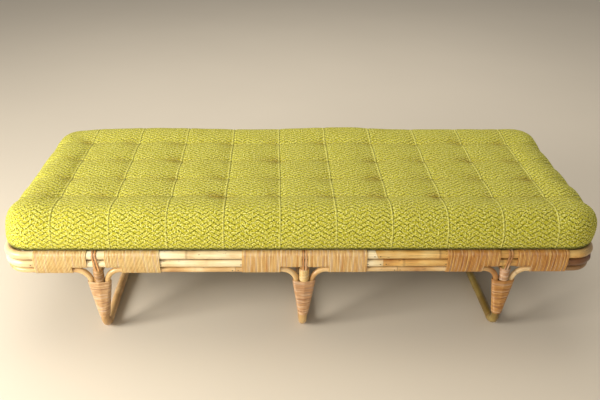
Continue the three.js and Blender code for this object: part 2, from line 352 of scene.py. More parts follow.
@dataclass(frozen=True)
class RattanPoleFinish:
    """Rattan pole with its skin on, under clear lacquer.

    The skin gives fine lengthwise streaks, pale honey patches that age to tan, and a dark scar
    at each node. The lacquer gives a soft gloss over all of it.
    """

    name: str
    pale: str
    honey: str
    tan: str
    scar: str = "#6b3f1c"
    scar_depth: float = 0.85
    roughness: float = 0.42
    coat: float = 0.35
    coat_roughness: float = 0.22
    streak_width: float = 1.1 * MM
    streak_length: float = 90 * MM
    streak_low: float = 0.78
    streak_high: float = 1.08
    streak_relief: float = 0.3 * MM
    patch_length: float = 160 * MM
    fleck_width: float = 5 * MM
    fleck_length: float = 11 * MM
    fleck_depth: float = 0.55

    def build(self) -> Material:
        """Build the material. It reads the grain and ring attributes that a pole carries, and the
        painted shade and browning that some of them carry.

        Returns:
            The material.
        """
        material, add, bsdf = shader(self.name)
        grain = add("Attribute", attribute_name="grain").outputs["Vector"]
        ring = add("Attribute", attribute_name="ring").outputs["Fac"]
        soil = add("Attribute", attribute_name="soil").outputs["Fac"]
        stretch = (1 / self.streak_width, 1 / self.streak_width, 1 / self.streak_length)
        along = add("Mapping", {0: grain, 3: stretch})
        streaks = add("TexNoise", {"Vector": along, "Scale": 1.0, "Detail": 3.0})
        wide = add("Mapping", {0: grain, 3: (1 / self.patch_length,) * 3})
        patches = add("TexNoise", {"Vector": wide, "Scale": 1.0, "Detail": 4.0})
        tones = add("ValToRGB", {0: patches})
        spread_tones(tones.color_ramp, 0.34, (self.tan, self.honey, self.pale))
        contrast = add(
            "MapRange", {0: streaks, 1: 0.35, 2: 0.65, 3: self.streak_low, 4: self.streak_high}
        )
        streaked = add("VectorMath", {0: tones, 1: contrast}, operation="MULTIPLY")
        # the scar colour also takes the painted shade and browning, besides the flecks and node rings
        marks = add("Math", {0: soil, 1: self._flecks(add, grain)}, operation="ADD")
        scar = add(
            "Math", {0: ring, 1: self.scar_depth, 2: marks}, operation="MULTIPLY_ADD", use_clamp=True
        )
        scarred = add("Mix", {0: scar, 6: streaked, 7: linear(self.scar)}, data_type="RGBA")
        height = add("Math", {0: streaks, 1: ring}, operation="SUBTRACT")
        bump = add("Bump", {"Strength": 0.35, "Distance": self.streak_relief, "Height": height})
        fill(
            bsdf,
            {
                "Base Color": scarred.outputs[2], "Normal": bump, "Roughness": self.roughness,
                "Coat Weight": self.coat, "Coat Roughness": self.coat_roughness
            }
        )
        return material

    def _flecks(self, add: Adder, grain: Socket) -> Node:
        """Scatter the small brown marks that thorns and handling leave on the skin.

        Args:
            add: Adds a node to the material's tree.
            grain: The grain's coordinates.

        Returns:
            A node that gives how dark a mark is at each place.
        """
        stretch = (1 / self.fleck_width, 1 / self.fleck_width, 1 / self.fleck_length)
        along = add("Mapping", {0: grain, 3: stretch})
        spots = add("TexNoise", {"Vector": along, "Scale": 0.8, "Detail": 1.0})
        return add("MapRange", {0: spots, 1: 0.69, 2: 0.76, 3: 0.0, 4: self.fleck_depth})


@dataclass(frozen=True)
class PeelFinish:
    """Rattan peel: the split skin of the cane, wound damp and lacquered when dry.

    Each turn has its own tone, and some carry a painted greyish reflection. Fibres run along the
    strand, and the edges between turns are darker where lacquer and dust collect.
    """

    name: str
    pale: str
    amber: str
    brown: str
    groove: str
    bloom: str = "#dccfc0"
    bloom_share: float = 0.35
    roughness: float = 0.4
    coat: float = 0.35
    coat_roughness: float = 0.25
    fibre_width: float = 0.5 * MM
    fibre_length: float = 40 * MM
    fibre_relief: float = 0.2 * MM

    def build(self) -> Material:
        """Build the material. It reads the turn, strand and edge attributes of a winding.

        Returns:
            The material.
        """
        material, add, bsdf = shader(self.name)
        turn = add("Attribute", attribute_name="turn").outputs["Fac"]
        strand = add("Attribute", attribute_name="strand").outputs["Vector"]
        edge = add("Attribute", attribute_name="edge").outputs["Fac"]
        slow = add(
            "TexNoise", {"W": turn, "Scale": 0.85, "Detail": 3.0, "Roughness": 0.8}, noise_dimensions="1D"
        )
        tones = add("ValToRGB", {0: slow})
        spread_tones(tones.color_ramp, 0.3, (self.brown, self.amber, self.pale))
        stretch = (1 / self.fibre_width, 1 / self.fibre_width, 1 / self.fibre_length)
        along = add("Mapping", {0: strand, 3: stretch})
        fibres = add("TexNoise", {"Vector": along, "Scale": 1.0, "Detail": 2.0})
        contrast = add("MapRange", {0: fibres, 1: 0.3, 2: 0.7, 3: 0.8, 4: 1.12})
        toned = add("VectorMath", {0: tones, 1: contrast}, operation="MULTIPLY")
        # painted reflection: a greyish highlight laid over some turns
        reflection_noise = add("TexNoise", {"W": turn, "Scale": 2.3, "Detail": 1.0}, noise_dimensions="1D")
        reflection_mask = add("MapRange", {0: reflection_noise, 1: 0.5, 2: 0.72, 3: 0.0, 4: self.bloom_share})
        reflected = add("Mix", {0: reflection_mask, 6: toned, 7: linear(self.bloom)}, data_type="RGBA")
        layers = {0: edge, 6: reflected.outputs[2], 7: linear(self.groove)}
        grooved = add("Mix", layers, data_type="RGBA")
        bump = add("Bump", {"Strength": 0.3, "Distance": self.fibre_relief, "Height": fibres})
        fill(
            bsdf,
            {
                "Base Color": grooved.outputs[2], "Normal": bump, "Roughness": self.roughness,
                "Coat Weight": self.coat, "Coat Roughness": self.coat_roughness
            }
        )
        return material


@dataclass(frozen=True)
class DiamondTwill:
    """Heavy wool-blend upholstery cloth in a goose-eye twill.

    Fine olive lines make diamonds inside diamonds on a chartreuse ground. The cloth is matt,
    with a slight fuzz, and the raised yarns shade the weave. The top takes an ochre tint, and the
    colour carries painted shade in the dimples and creases, a painted shadow beside each seam and
    along the foot, and a painted highlight on the seam ridges.
    The weave is drawn coarser than real threads, which would be too fine to show.
    """

    name: str = "goose_eye_twill"
    ground: str = "#e6dc2a"
    glint: str = "#fdfca6"
    line: str = "#464a0a"
    # the colour of the painted highlight on the seam ridges
    seam: str = "#f8f28a"
    pressed: str = "#a87c1c"
    repeat_across: float = 24.5 * MM
    repeat_along: float = 17 * MM
    line_share: float = 0.3
    weak_share: float = 0.92
    ring: float = 0.24
    ring_share: float = 0.75
    eye: float = 0.12
    break_size: float = 4.5 * MM
    yarn: float = 2.6 * MM
    yarn_relief: float = 0.8 * MM
    patch: float = 90 * MM
    stray: float = 8 * MM
    stray_size: float = 30 * MM
    roughness: float = 0.92
    sheen: float = 0.04
    sheen_roughness: float = 0.6
    specular: float = 0.15

    def build(self) -> Material:
        """Build the material. It reads the cover's cloth UV map, in metres of cloth.

        Returns:
            The material.
        """
        material, add, bsdf = shader(self.name)
        cloth = add("UVMap", uv_map="cloth")
        press, stitch, ridge = (
            add(
                "Attribute", attribute_name=shade
            ).outputs["Fac"] for shade in ("press", "stitch", "ridge")
        )
        line = self._diamond_lines(add, self._uneven(add, cloth))
        yarns = add("Mapping", {0: cloth, 3: (1 / self.yarn, 1 / self.yarn, 1.0)})
        slub = add("TexNoise", {"Vector": yarns, "Scale": 0.8, "Detail": 2.0})
        fine = {"Vector": cloth, "Scale": 1 / self.break_size, "Detail": 2.0, "Roughness": 0.7}
        skips = add("TexNoise", fine)
        broken = add("MapRange", {0: skips, 1: 0.38, 2: 0.54, 3: 0.2, 4: 1.0})
        strength = add("Math", {0: line, 1: broken}, operation="MULTIPLY")
        bright = add("MapRange", {0: skips, 1: 0.5, 2: 0.36})
        wide = {"Vector": cloth, "Scale": 1 / self.patch, "Detail": 3.0, "Roughness": 0.6}
        spots = add("MapRange", {0: add("TexNoise", wide), 1: 0.35, 2: 0.7, 3: 0.1, 4: 0.9})
        # painted shade in the dimples and creases, and an ochre tint over the top
        darkened = add("Math", {0: press, 1: spots}, operation="MULTIPLY")
        # painted shadow beside the seams and along the foot, laid in the line colour
        drawn = add("Math", {0: stitch, 1: strength}, operation="ADD", use_clamp=True)
        colour: Any = linear(self.ground)
        # the seam colour laid on the ridges is a painted highlight
        layers = ((bright, self.glint), (darkened, self.pressed), (drawn, self.line), (ridge, self.seam))
        for share, over in layers:
            laid = add("Mix", {0: share, 6: colour, 7: linear(over)}, data_type="RGBA")
            colour = laid.outputs[2]
        raised = add("Math", {0: slub, 1: line}, operation="SUBTRACT")
        bump = add("Bump", {"Strength": 0.6, "Distance": self.yarn_relief, "Height": raised})
        fill(
            bsdf,
            {
                "Base Color": colour, "Normal": bump, "Roughness": self.roughness,
                "Sheen Weight": self.sheen, "Sheen Roughness": self.sheen_roughness,
                "Specular IOR Level": self.specular
            }
        )
        return material

    def _uneven(self, add: Adder, cloth: Node) -> Node:
        """Shift the weave a little from place to place, as a stretched cover does.

        Args:
            add: Adds a node to the material's tree.
            cloth: The place on the cloth.

        Returns:
            The shifted place.
        """
        stray = add("TexNoise", {"Vector": cloth, "Scale": 1 / self.stray_size, "Detail": 2.0})
        ways = {0: stray.outputs["Color"], 1: (0.5, 0.5, 0.5)}
        centred = add("VectorMath", ways, operation="SUBTRACT")
        scaled = add("VectorMath", {0: centred, "Scale": self.stray}, operation="SCALE")
        return add("VectorMath", {0: cloth, 1: scaled}, operation="ADD")

    def _diamond_lines(self, add: Adder, cloth: Node) -> Node:
        """Draw the olive lines: 1 on a line and 0 between.

        Two zigzags cross to make the diamonds, and one is stronger. Each diamond holds a
        smaller one with an eye.

        Args:
            add: Adds a node to the material's tree.
            cloth: The place on the cloth.

        Returns:
            The lines' strength.
        """
        split = add("SeparateXYZ", {0: cloth})
        swing = add("Math", {0: split.outputs[0], 1: self.repeat_across}, operation="PINGPONG")
        shift = add("Math", {0: swing, 1: 1 / self.repeat_across}, operation="MULTIPLY")
        rows = add("Math", {0: split.outputs[1], 1: 1 / self.repeat_along}, operation="MULTIPLY")
        away = []
        for way in ("ADD", "SUBTRACT"):
            phase = add("Math", {0: rows, 1: shift}, operation=way)
            share = add("Math", {0: phase}, operation="FRACT")
            middle = add("Math", {0: share, 1: 0.5}, operation="SUBTRACT")
            away.append(add("Math", {0: middle}, operation="ABSOLUTE"))
        low = 0.5 - self.line_share / 2
        strong = add("MapRange", {0: away[0], 1: low - 0.05, 2: low + 0.05})
        weak = add("MapRange", {0: away[1], 1: low, 2: low + 0.08, 4: self.weak_share})
        reach = add("Math", {0: away[0], 1: away[1]}, operation="MAXIMUM")
        off_ring = add("Math", {0: reach, 1: self.ring}, operation="SUBTRACT")
        beside = add("Math", {0: off_ring}, operation="ABSOLUTE")
        ring = add("MapRange", {0: beside, 1: 0.03, 2: 0.09, 3: self.ring_share, 4: 0.0})
        eye = add("MapRange", {0: reach, 1: self.eye, 2: self.eye / 2, 3: 0.0, 4: self.weak_share})
        lines = strong
        for other in (weak, ring, eye):
            lines = add("Math", {0: lines, 1: other}, operation="MAXIMUM")
        return lines


@dataclass(frozen=True)
class PlainFinish:
    """A plain surface with a faint cloudiness, for nails, thread and the studio floor."""

    name: str
    colour: str
    roughness: float
    metallic: float = 0.0
    cloud_size: float = 40 * MM
    cloud: float = 0.06

    def build(self) -> Material:
        """Build the material on Object coordinates.

        Returns:
            The material.
        """
        material, add, bsdf = shader(self.name)
        where = add("TexCoord").outputs["Object"]
        clouds = add("TexNoise", {"Vector": where, "Scale": 1 / self.cloud_size, "Detail": 3.0})
        shade = add("MapRange", {0: clouds, 1: 0.3, 2: 0.7, 3: 1 - self.cloud, 4: 1 + self.cloud})
        toned = add("VectorMath", {0: linear(self.colour)[:3], 1: shade}, operation="MULTIPLY")
        fill(bsdf, {"Base Color": toned, "Roughness": self.roughness, "Metallic": self.metallic})
        return material


class Palette:
    """The daybed's finishes, each built once."""

    def __init__(self) -> None:
        """Build every material."""
        pole, peel = RattanPoleFinish, PeelFinish
        # The right rails get a darker, browner copy of the rail finish: partly painted shade of the
        # dimmer right end, partly the poles' own tone.
        darkened = pole(
            "aged_lacquered_rail_rattan", "#f9dd98", "#e8b664", "#b0702e", "#5a2610", streak_low=0.6
        )
        self.rail = pole("lacquered_rail_rattan", "#faefd0", "#efd9a8", "#d0a66a").build()
        self.rail_shaded = darkened.build()
        # Copies of the sled finish graded for painted light: pale where the left leg is lit, darker olive
        # where the right leg stands in shade.
        self.sleds = {
            "left": pole("pale_sled_rattan", "#f4d6a0", "#deb47a", "#a87c48").build(),
            "middle": pole("honey_sled_rattan", "#deba7e", "#b88a4c", "#83592a").build(),
            "right": pole("olive_sled_rattan", "#b0964e", "#80662e", "#4c3818").build()
        }
        self.brace = pole("lacquered_brace_cane", "#efd6a6", "#dcb67a", "#b07c42").build()
        bare = pole("bare_deck_rattan", "#d9bd8c", "#c39f68", "#9c7644", roughness=0.62, coat=0.0)
        self.deck = bare.build()
        # Lit and shaded copies of the rail-wrap peel, graded from left to right as painted light: pale
        # where the left legs are sunlit, darker amber where the right legs stand in shade.
        amber = peel("amber_rattan_peel", "#e6b86a", "#ce9244", "#a0662c", "#663a18", bloom_share=0.26)
        self.peels = {
            "left": peel("pale_rattan_peel", "#f1dc9c", "#e4c27e", "#cc9c58", "#966632").build(),
            "middle": peel("honey_rattan_peel", "#f6d99e", "#e8be76", "#c8904e", "#8a5828").build(),
            "right": amber.build()
        }
        # Darker copies of the peel for the cones: partly their own russet tone, partly painted shade of
        # their shaded right sides.
        dark = peel("amber_cone_peel", "#dcac66", "#c28740", "#945c2a", "#5e3618", bloom_share=0.26)
        self.cones = {
            "left": peel("tan_cone_peel", "#e8c696", "#d3a770", "#a8744a", "#7a4a2a").build(),
            "middle": peel("russet_cone_peel", "#e4bd90", "#cd9c6a", "#a27046", "#6f4528").build(),
            "right": dark.build()
        }
        # The right sleeve's pale pinkish tones are a painted highlight.
        self.sleeves = {
            "left": peel("brown_sleeve_peel", "#dab072", "#b7874a", "#8c5e2e", "#5a381a").build(),
            "middle": self.peels["left"],
            "right": peel("worn_sleeve_peel", "#e6c49c", "#cc9c70", "#a06c42", "#6e4426").build()
        }
        self.binding = peel("binding_peel", "#e6b67a", "#c68c50", "#8e5a2a", "#4c280f").build()
        self.twill = DiamondTwill().build()
        self.thread = PlainFinish("waxed_tufting_thread", "#6e6a1e", 0.7, cloud_size=3 * MM).build()
        self.nail = PlainFinish("blued_steel_nail", "#4a4038", 0.45, 0.9, cloud_size=2 * MM).build()
        self.floor = PlainFinish("studio_floor", "#d6ccbc", 0.8, cloud_size=0.9, cloud=0.015).build()


# ---------------------------------------------------------------------------------------
# Geometry Nodes trees
# ---------------------------------------------------------------------------------------

STORE = "GeometryNodeStoreNamedAttribute"
READ = "GeometryNodeInputNamedAttribute"


class GeometryTool:
    """A Geometry Nodes tree with named inputs that turns a carrier object into a mesh."""

    def __init__(self, name: str, numbers: Sequence[str], **others: str) -> None:
        """Make the tree with its inputs. The last one is the material.

        Args:
            name: The tree's name.
            numbers: The names of the inputs that hold a number.
            **others: The name and the kind of each other input.
        """
        self.tree = bpy.data.node_groups.new(name, "GeometryNodeTree")
        self.add = partial(add_node, self.tree)
        face = self.tree.interface
        for way in ("INPUT", "OUTPUT"):
            face.new_socket("Geometry", in_out=way, socket_type="NodeSocketGeometry")
        kinds = {**dict.fromkeys(numbers, "Float"), **others, "Material": "Material"}
        self.ids = {
            label: face.new_socket(
                label, in_out="INPUT", socket_type=f"NodeSocket{kind}"
            ).identifier for label,
            kind in kinds.items()
        }
        self.start = self.tree.nodes.new("NodeGroupInput")
        self.end = self.tree.nodes.new("NodeGroupOutput")

    def value(self, label: str) -> Socket:
        """Return the socket inside the tree that carries a named input."""
        return self.start.outputs[label]

    def close(self, geometry: Any) -> None:
        """End the tree in Realize Instances and Set Material.

        Args:
            geometry: The node or socket that gives the finished geometry.
        """
        real = self.add("GeometryNodeRealizeInstances", {0: geometry})
        smooth = self.add("GeometryNodeSetShadeSmooth", {0: real})
        painted = self.add("GeometryNodeSetMaterial", {0: smooth, 2: self.value("Material")})
        fill(self.end, {0: painted})

    def run(self, name: str, carrier: Piece, values: dict[str, Any]) -> Piece:
        """Run the tree on a carrier and keep the result as a plain mesh object.

        Args:
            name: The finished object's name.
            carrier: A curve or point object, which is deleted afterwards.
            values: A value for each named input.

        Returns:
            The finished mesh object, at the origin.
        """
        modifier = carrier.modifiers.new(self.tree.name, "NODES")
        modifier.node_group = self.tree
        for label, value in values.items():
            modifier[self.ids[label]] = value
        mesh = plain_mesh(carrier)
        carrier.modifiers.remove(modifier)
        data = carrier.data
        bpy.data.objects.remove(carrier)
        holder = bpy.data.curves if isinstance(data, bpy.types.Curve) else bpy.data.meshes
        holder.remove(data)
        return new_mesh_object(name, mesh)


def curve_carrier(points: np.ndarray, tapers: Sequence[float] | None = None) -> Piece:
    """Make an open poly curve that a tree can sweep.

    Args:
        points: The curve's points, one row each.
        tapers: The share of the full radius at each point, or None for 1 everywhere.

    Returns:
        The curve object.
    """
    data = bpy.data.curves.new("carrier", "CURVE")
    data.dimensions = "3D"
    ones = np.ones(len(points))
    spline = data.splines.new("POLY")
    spline.points.add(len(points) - 1)
    spline.points.foreach_set("co", np.column_stack([points, ones]).ravel())
    spline.points.foreach_set("radius", list(ones if tapers is None else tapers))
    return in_scene("carrier", data)


class PoleTool(GeometryTool):
    """Sweeps a rattan pole along a curve, with a swollen, scarred node now and then."""

    SIDES = 20
    STEP = 6 * MM
    SWELL_WIDTH = 6 * MM
    SCAR_WIDTH = 1.6 * MM
    NODE_JITTER = 0.25
    THINNEST, THICKEST = 0.985, 1.005

    def __init__(self) -> None:
        """Build the tree."""
        numbers = ("Radius", "Node Spacing", "Node Phase", "Node Swell", "Wander", "Seed")
        super().__init__("rattan_pole", numbers)
        add = self.add
        length = {0: self.start.outputs[0], "Length": self.STEP}
        dense = add("GeometryNodeResampleCurve", length, mode="LENGTH")
        along = add("GeometryNodeSplineParameter").outputs["Length"]
        off_node = self._distance_from_node(along)
        chance = {"W": self._seeded(along, 9.0), "Scale": 1.0, "Detail": 1.0}
        uneven = add("TexNoise", chance, noise_dimensions="1D")
        limits = {0: uneven, 1: 0.2, 2: 0.8, 3: self.THINNEST, 4: self.THICKEST}
        evenness = add("MapRange", limits)
        body = add("Math", {0: self.value("Radius"), 1: evenness}, operation="MULTIPLY")
        swell = {0: self._bell(off_node, self.SWELL_WIDTH), 1: self.value("Node Swell")}
        bulge = add("Math", swell, operation="MULTIPLY")
        full = add("Math", {0: body, 1: bulge}, operation="ADD")
        taper = add("GeometryNodeInputRadius")
        radius = add("Math", {0: full, 1: taper}, operation="MULTIPLY")
        marked = dense
        for name, value in (("along", along), ("ring", self._bell(off_node, self.SCAR_WIDTH))):
            marked = add(STORE, {0: marked, "Name": name, "Value": value}, data_type="FLOAT")
        sized = add("GeometryNodeSetCurveRadius", {0: marked, "Radius": radius})
        strayed = add("GeometryNodeSetPosition", {0: sized, "Offset": self._wander(along)})
        circle = add("GeometryNodeCurvePrimitiveCircle", {"Resolution": self.SIDES, "Radius": 1.0})
        place = add("GeometryNodeInputPosition")
        kept = {0: circle, "Name": "section", "Value": place}
        section = add(STORE, kept, data_type="FLOAT_VECTOR")
        scale = add("GeometryNodeInputRadius")
        sweep = {0: strayed, 1: section, "Scale": scale, "Fill Caps": True}
        tube = add("GeometryNodeCurveToMesh", sweep)
        self.close(self._with_grain(tube))

    def _seeded(self, along: Any, scale: float) -> Node:
        """Scale the length along the pole and shift it by the seed."""
        scaled = self.add("Math", {0: along, 1: scale}, operation="MULTIPLY")
        return self.add("Math", {0: scaled, 1: self.value("Seed")}, operation="ADD")

    def _distance_from_node(self, along: Socket) -> Node:
        """Give the distance from the nearest node, unevenly spaced but for the one at the phase.

        Args:
            along: The length along the pole.

        Returns:
            The distance.
        """
        add, spacing = self.add, self.value("Node Spacing")
        shifted = add("Math", {0: along, 1: self.value("Node Phase")}, operation="SUBTRACT")
        count = add("Math", {0: shifted, 1: spacing}, operation="DIVIDE")
        nearest = add("Math", {0: count}, operation="ROUND")
        away = add("Math", {0: count, 1: nearest}, operation="SUBTRACT")
        chance = {"W": self._seeded(nearest, 3.7), "Scale": 1.0, "Detail": 0.0}
        jitter = add("TexNoise", chance, noise_dimensions="1D")
        spread = add("MapRange", {0: jitter, 3: -self.NODE_JITTER, 4: self.NODE_JITTER})
        steps = add("Math", {0: nearest}, operation="ABSOLUTE")
        free = add("Math", {0: steps, 1: 1.0}, operation="MINIMUM")
        shifted_by = add("Math", {0: spread, 1: free}, operation="MULTIPLY")
        moved = add("Math", {0: away, 1: shifted_by}, operation="SUBTRACT")
        distance = add("Math", {0: moved, 1: spacing}, operation="MULTIPLY")
        return add("Math", {0: distance}, operation="ABSOLUTE")

    def _bell(self, distance: Node, width: float) -> Node:
        """Give a bell curve that is 1 on a node and fades over a width.

        Args:
            distance: The distance from the node.
            width: The width.

        Returns:
            The bell curve's height.
        """
        share = self.add("Math", {0: distance, 1: width}, operation="DIVIDE")
        square = self.add("Math", {0: share, 1: 2.0}, operation="POWER")
        falling = self.add("Math", {0: square, 1: -1.0}, operation="MULTIPLY")
        return self.add("Math", {0: falling}, operation="EXPONENT")

    def _wander(self, along: Socket) -> Node:
        """Give the slow stray of a pole that was bent by hand.

        Args:
            along: The length along the pole.

        Returns:
            How far the pole strays.
        """
        chance = {"W": self._seeded(along, 3.0), "Scale": 1.0, "Detail": 1.0}
        stray = self.add("TexNoise", chance, noise_dimensions="1D").outputs["Color"]
        centred = self.add("VectorMath", {0: stray, 1: (0.5, 0.5, 0.5)}, operation="SUBTRACT")
        size = {0: centred, "Scale": self.value("Wander")}
        return self.add("VectorMath", size, operation="SCALE")

    def _with_grain(self, tube: Node) -> Node:
        """Store the coordinates that the wood's streaks follow.

        Args:
            tube: The swept pole.

        Returns:
            The pole with its grain.
        """
        add = self.add
        section = add(READ, {"Name": "section"}, data_type="FLOAT_VECTOR")
        along = add(READ, {"Name": "along"}, data_type="FLOAT")
        size = {0: section, "Scale": self.value("Radius")}
        split = add("SeparateXYZ", {0: add("VectorMath", size, operation="SCALE")})
        shifted = self._seeded(along, 1.0)
        joined = add("CombineXYZ", {0: split.outputs[0], 1: split.outputs[1], 2: shifted})
        return add(STORE, {0: tube, "Name": "grain", "Value": joined}, data_type="FLOAT_VECTOR")


class WindingTool(GeometryTool):
    """Sweeps a flat strand of peel along a curve that winds round the local Z axis."""

    SECTION_SIDES = 8
    EDGE_DARKNESS = 0.7
    TURNS_APART = 0.05

    def __init__(self) -> None:
        """Build the tree."""
        numbers = ("Strand Width", "Strand Thickness", "Points per Turn", "Seed")
        super().__init__("peel_winding", numbers, Rotation="Rotation", Translation="Vector")
        add = self.add
        upright = add("GeometryNodeSetCurveNormal", {0: self.start.outputs[0]}, mode="Z_UP")
        index = add("GeometryNodeInputIndex")
        turn = add("Math", {0: index, 1: self.value("Points per Turn")}, operation="DIVIDE")
        seeded = add("Math", {0: turn, 1: self.value("Seed")}, operation="ADD")
        length = add("GeometryNodeSplineParameter").outputs["Length"]
        measured = upright
        for name, value in (("turn", seeded), ("along", length)):
            measured = add(STORE, {0: measured, "Name": name, "Value": value}, data_type="FLOAT")
        round_section = {"Resolution": self.SECTION_SIDES, "Radius": 0.5}
        circle = add("GeometryNodeCurvePrimitiveCircle", round_section)
        place = add("GeometryNodeInputPosition")
        kept = {0: circle, "Name": "section", "Value": place}
        section = add(STORE, kept, data_type="FLOAT_VECTOR")
        size = {0: self.value("Strand Thickness"), 1: self.value("Strand Width"), 2: 1.0}
        shape = add("CombineXYZ", size)
        strap = add("GeometryNodeTransform", {0: section, "Scale": shape})
        wound = add("GeometryNodeCurveToMesh", {0: measured, 1: strap, "Fill Caps": True})
        move = {name: self.value(name) for name in ("Translation", "Rotation")}
        self.close(add("GeometryNodeTransform", {0: self._with_strand(wound), **move}))

    def _with_strand(self, wound: Node) -> Node:
        """Store how near a point is to the strand's edge, and the fibres' coordinates.

        Args:
            wound: The swept strand.

        Returns:
            The strand with its attributes.
        """
        add = self.add
        section = add(READ, {"Name": "section"}, data_type="FLOAT_VECTOR")
        along = add(READ, {"Name": "along"}, data_type="FLOAT")
        counted = add(READ, {"Name": "turn"}, data_type="FLOAT")
        side = add("SeparateXYZ", {0: section}).outputs[1]
        off = add("Math", {0: side}, operation="ABSOLUTE")
        edge = add("MapRange", {0: off, 1: 0.3, 2: 0.5, 3: 0.0, 4: self.EDGE_DARKNESS})
        across = add("Math", {0: side, 1: self.value("Strand Width")}, operation="MULTIPLY")
        apart = add("Math", {0: counted, 1: self.TURNS_APART}, operation="MULTIPLY")
        joined = add("CombineXYZ", {0: across, 1: apart, 2: along})
        edged = add(STORE, {0: wound, "Name": "edge", "Value": edge}, data_type="FLOAT")
        return add(STORE, {0: edged, "Name": "strand", "Value": joined}, data_type="FLOAT_VECTOR")


class StudTool(GeometryTool):
    """Sets a small domed head on every point of a carrier, facing along its normal."""

    def __init__(self, name: str, segments: int, rings: int) -> None:
        """Build the tree.

        Args:
            name: The tree's name.
            segments: The sides of a head.
            rings: The rows of faces of a head.
        """
        sizes = ("Head Length", "Head Width", "Head Height")
        super().__init__(name, sizes)
        add = self.add
        dome = {"Segments": segments, "Rings": rings, "Radius": 1.0}
        ball = add("GeometryNodeMeshUVSphere", dome)
        shape = add("CombineXYZ", {i: self.value(size) for i, size in enumerate(sizes)})
        head = add("GeometryNodeTransform", {0: ball, "Scale": shape})
        facing = add(READ, {"Name": "facing"}, data_type="FLOAT_VECTOR")
        turned = add("FunctionNodeAlignRotationToVector", {"Vector": facing}, axis="Z")
        heads = {0: self.start.outputs[0], "Instance": head, "Rotation": turned}
        self.close(add("GeometryNodeInstanceOnPoints", heads))


def point_carrier(points: Sequence[Sequence[float]], facings: Sequence[Vector]) -> Piece:
    """Make a mesh of loose points, each with the way that what stands on it faces.

    Args:
        points: The points.
        facings: For each point the way that it faces.

    Returns:
        The mesh object.
    """
    mesh = bpy.data.meshes.new("carrier")
    mesh.from_pydata([tuple(p) for p in points], [], [])
    facing = mesh.attributes.new("facing", "FLOAT_VECTOR", "POINT")
    facing.data.foreach_set("vector", [v for f in facings for v in f])
    return new_mesh_object("carrier", mesh)


# ---------------------------------------------------------------------------------------
# Paths
# ---------------------------------------------------------------------------------------


def bent_path(corners: Sequence[Point], bends: Sequence[float], step: float = 6 * MM) -> np.ndarray:
    """Round off the corners of a polyline.

    Args:
        corners: The polyline's points.
        bends: The bend radius at each point between the ends.
        step: The distance between points in a bend.

    Returns:
        The path's points, close together in the bends.
    """
    points = [Vector(c) for c in corners]
    path = [points[0]]
    for before, corner, after, radius in zip(points, points[1:], points[2:], bends):
        arriving = (corner - before).normalized()
        leaving = (after - corner).normalized()
        turn = arriving.angle(leaving)
        start = corner - arriving * radius * math.tan(turn / 2)
        inward = (leaving - arriving * math.cos(turn)).normalized()
        count = max(4, round(radius * turn / step))
        for i in range(count + 1):
            angle = turn * i / count
            aside = inward * radius * (1 - math.cos(angle))
            path.append(start + aside + arriving * radius * math.sin(angle))
    path.append(points[-1])
    return np.array([tuple(p) for p in path])


@dataclass(frozen=True)
class Ring:
    """A rod seen end on: where it is in a section, and its radius."""

    x: float
    y: float
    radius: float


def between(start: Sequence[float], stop: Sequence[float], share: float) -> tuple[float, float]:
    """Give the place at a share of the way from one place in a section to another."""
    return (start[0] + (stop[0] - start[0]) * share, start[1] + (stop[1] - start[1]) * share)


def tight_outline(rings: Sequence[Ring], samples: int = 40, step: float = 6 * MM) -> Outline:
    """Draw the line of a strand pulled tight round several rods.

    Args:
        rings: The rods.
        samples: The directions in a full turn.
        step: The distance between points on the straight stretches.

    Returns:
        For each point its (x, y) and the unit direction (nx, ny) that it faces.
    """
    found: Outline = []
    last = None
    for i in range(samples + 1):
        angle = 2 * math.pi * i / samples
        way = (math.cos(angle), math.sin(angle))
        best = max(rings, key=lambda r: r.x * way[0] + r.y * way[1] + r.radius)
        here = (best.x + best.radius * way[0], best.y + best.radius * way[1])
        if last is not None and best is not last[1]:
            count = max(1, round(math.dist(here, last[0]) / step))
            found.extend((between(last[0], here, j / count), way) for j in range(1, count))
        if i < samples:
            found.append((here, way))
        last = (here, best)
    return found


# ---------------------------------------------------------------------------------------
# Bent poles
# ---------------------------------------------------------------------------------------


@dataclass
class PoleWork:
    """Makes every pole and cane of the bed with one tree."""

    layout: Layout
    palette: Palette
    tool: PoleTool = field(default_factory=PoleTool)
    node_spacing: float = 0.33
    node_swell: float = 0.9 * MM
    wander: float = 1.2 * MM
    phase_step: float = 0.137
    seed_step: float = 11.3
    scorch_fade: float = 0.045
    made: int = 0

    def pole(
        self, name: str, path: np.ndarray, radius: float, material: Material,
        tapers: Sequence[float] | None = None, phase: float | None = None, spacing: float | None = None
    ) -> Piece:
        """Sweep one pole.

        Args:
            name: The piece's name.
            path: The centreline.
            radius: The pole's radius.
            material: Its finish.
            tapers: The share of the radius at each point of the path.
            phase: The distance from the path's start to a node, or None to leave it to chance.
            spacing: The distance between nodes, or None for the usual one.

        Returns:
            The pole's mesh object.
        """
        self.made += 1
        chance = (self.made * self.phase_step) % self.node_spacing
        values = {
            "Radius": radius, "Node Spacing": spacing or self.node_spacing,
            "Node Phase": chance if phase is None else phase,
            "Node Swell": self.node_swell * radius / self.layout.pole, "Wander": self.wander,
            "Seed": self.seed_step * self.made, "Material": material
        }
        return self.tool.run(name, curve_carrier(path, tapers), values)

    def scorch(self, x: np.ndarray, start: float, depth: float) -> np.ndarray:
        """Give the darkening from a start towards the right end: partly painted shade of the dim end,
        partly a browner tone.
        """
        return depth * climb(x, start, self.scorch_fade)


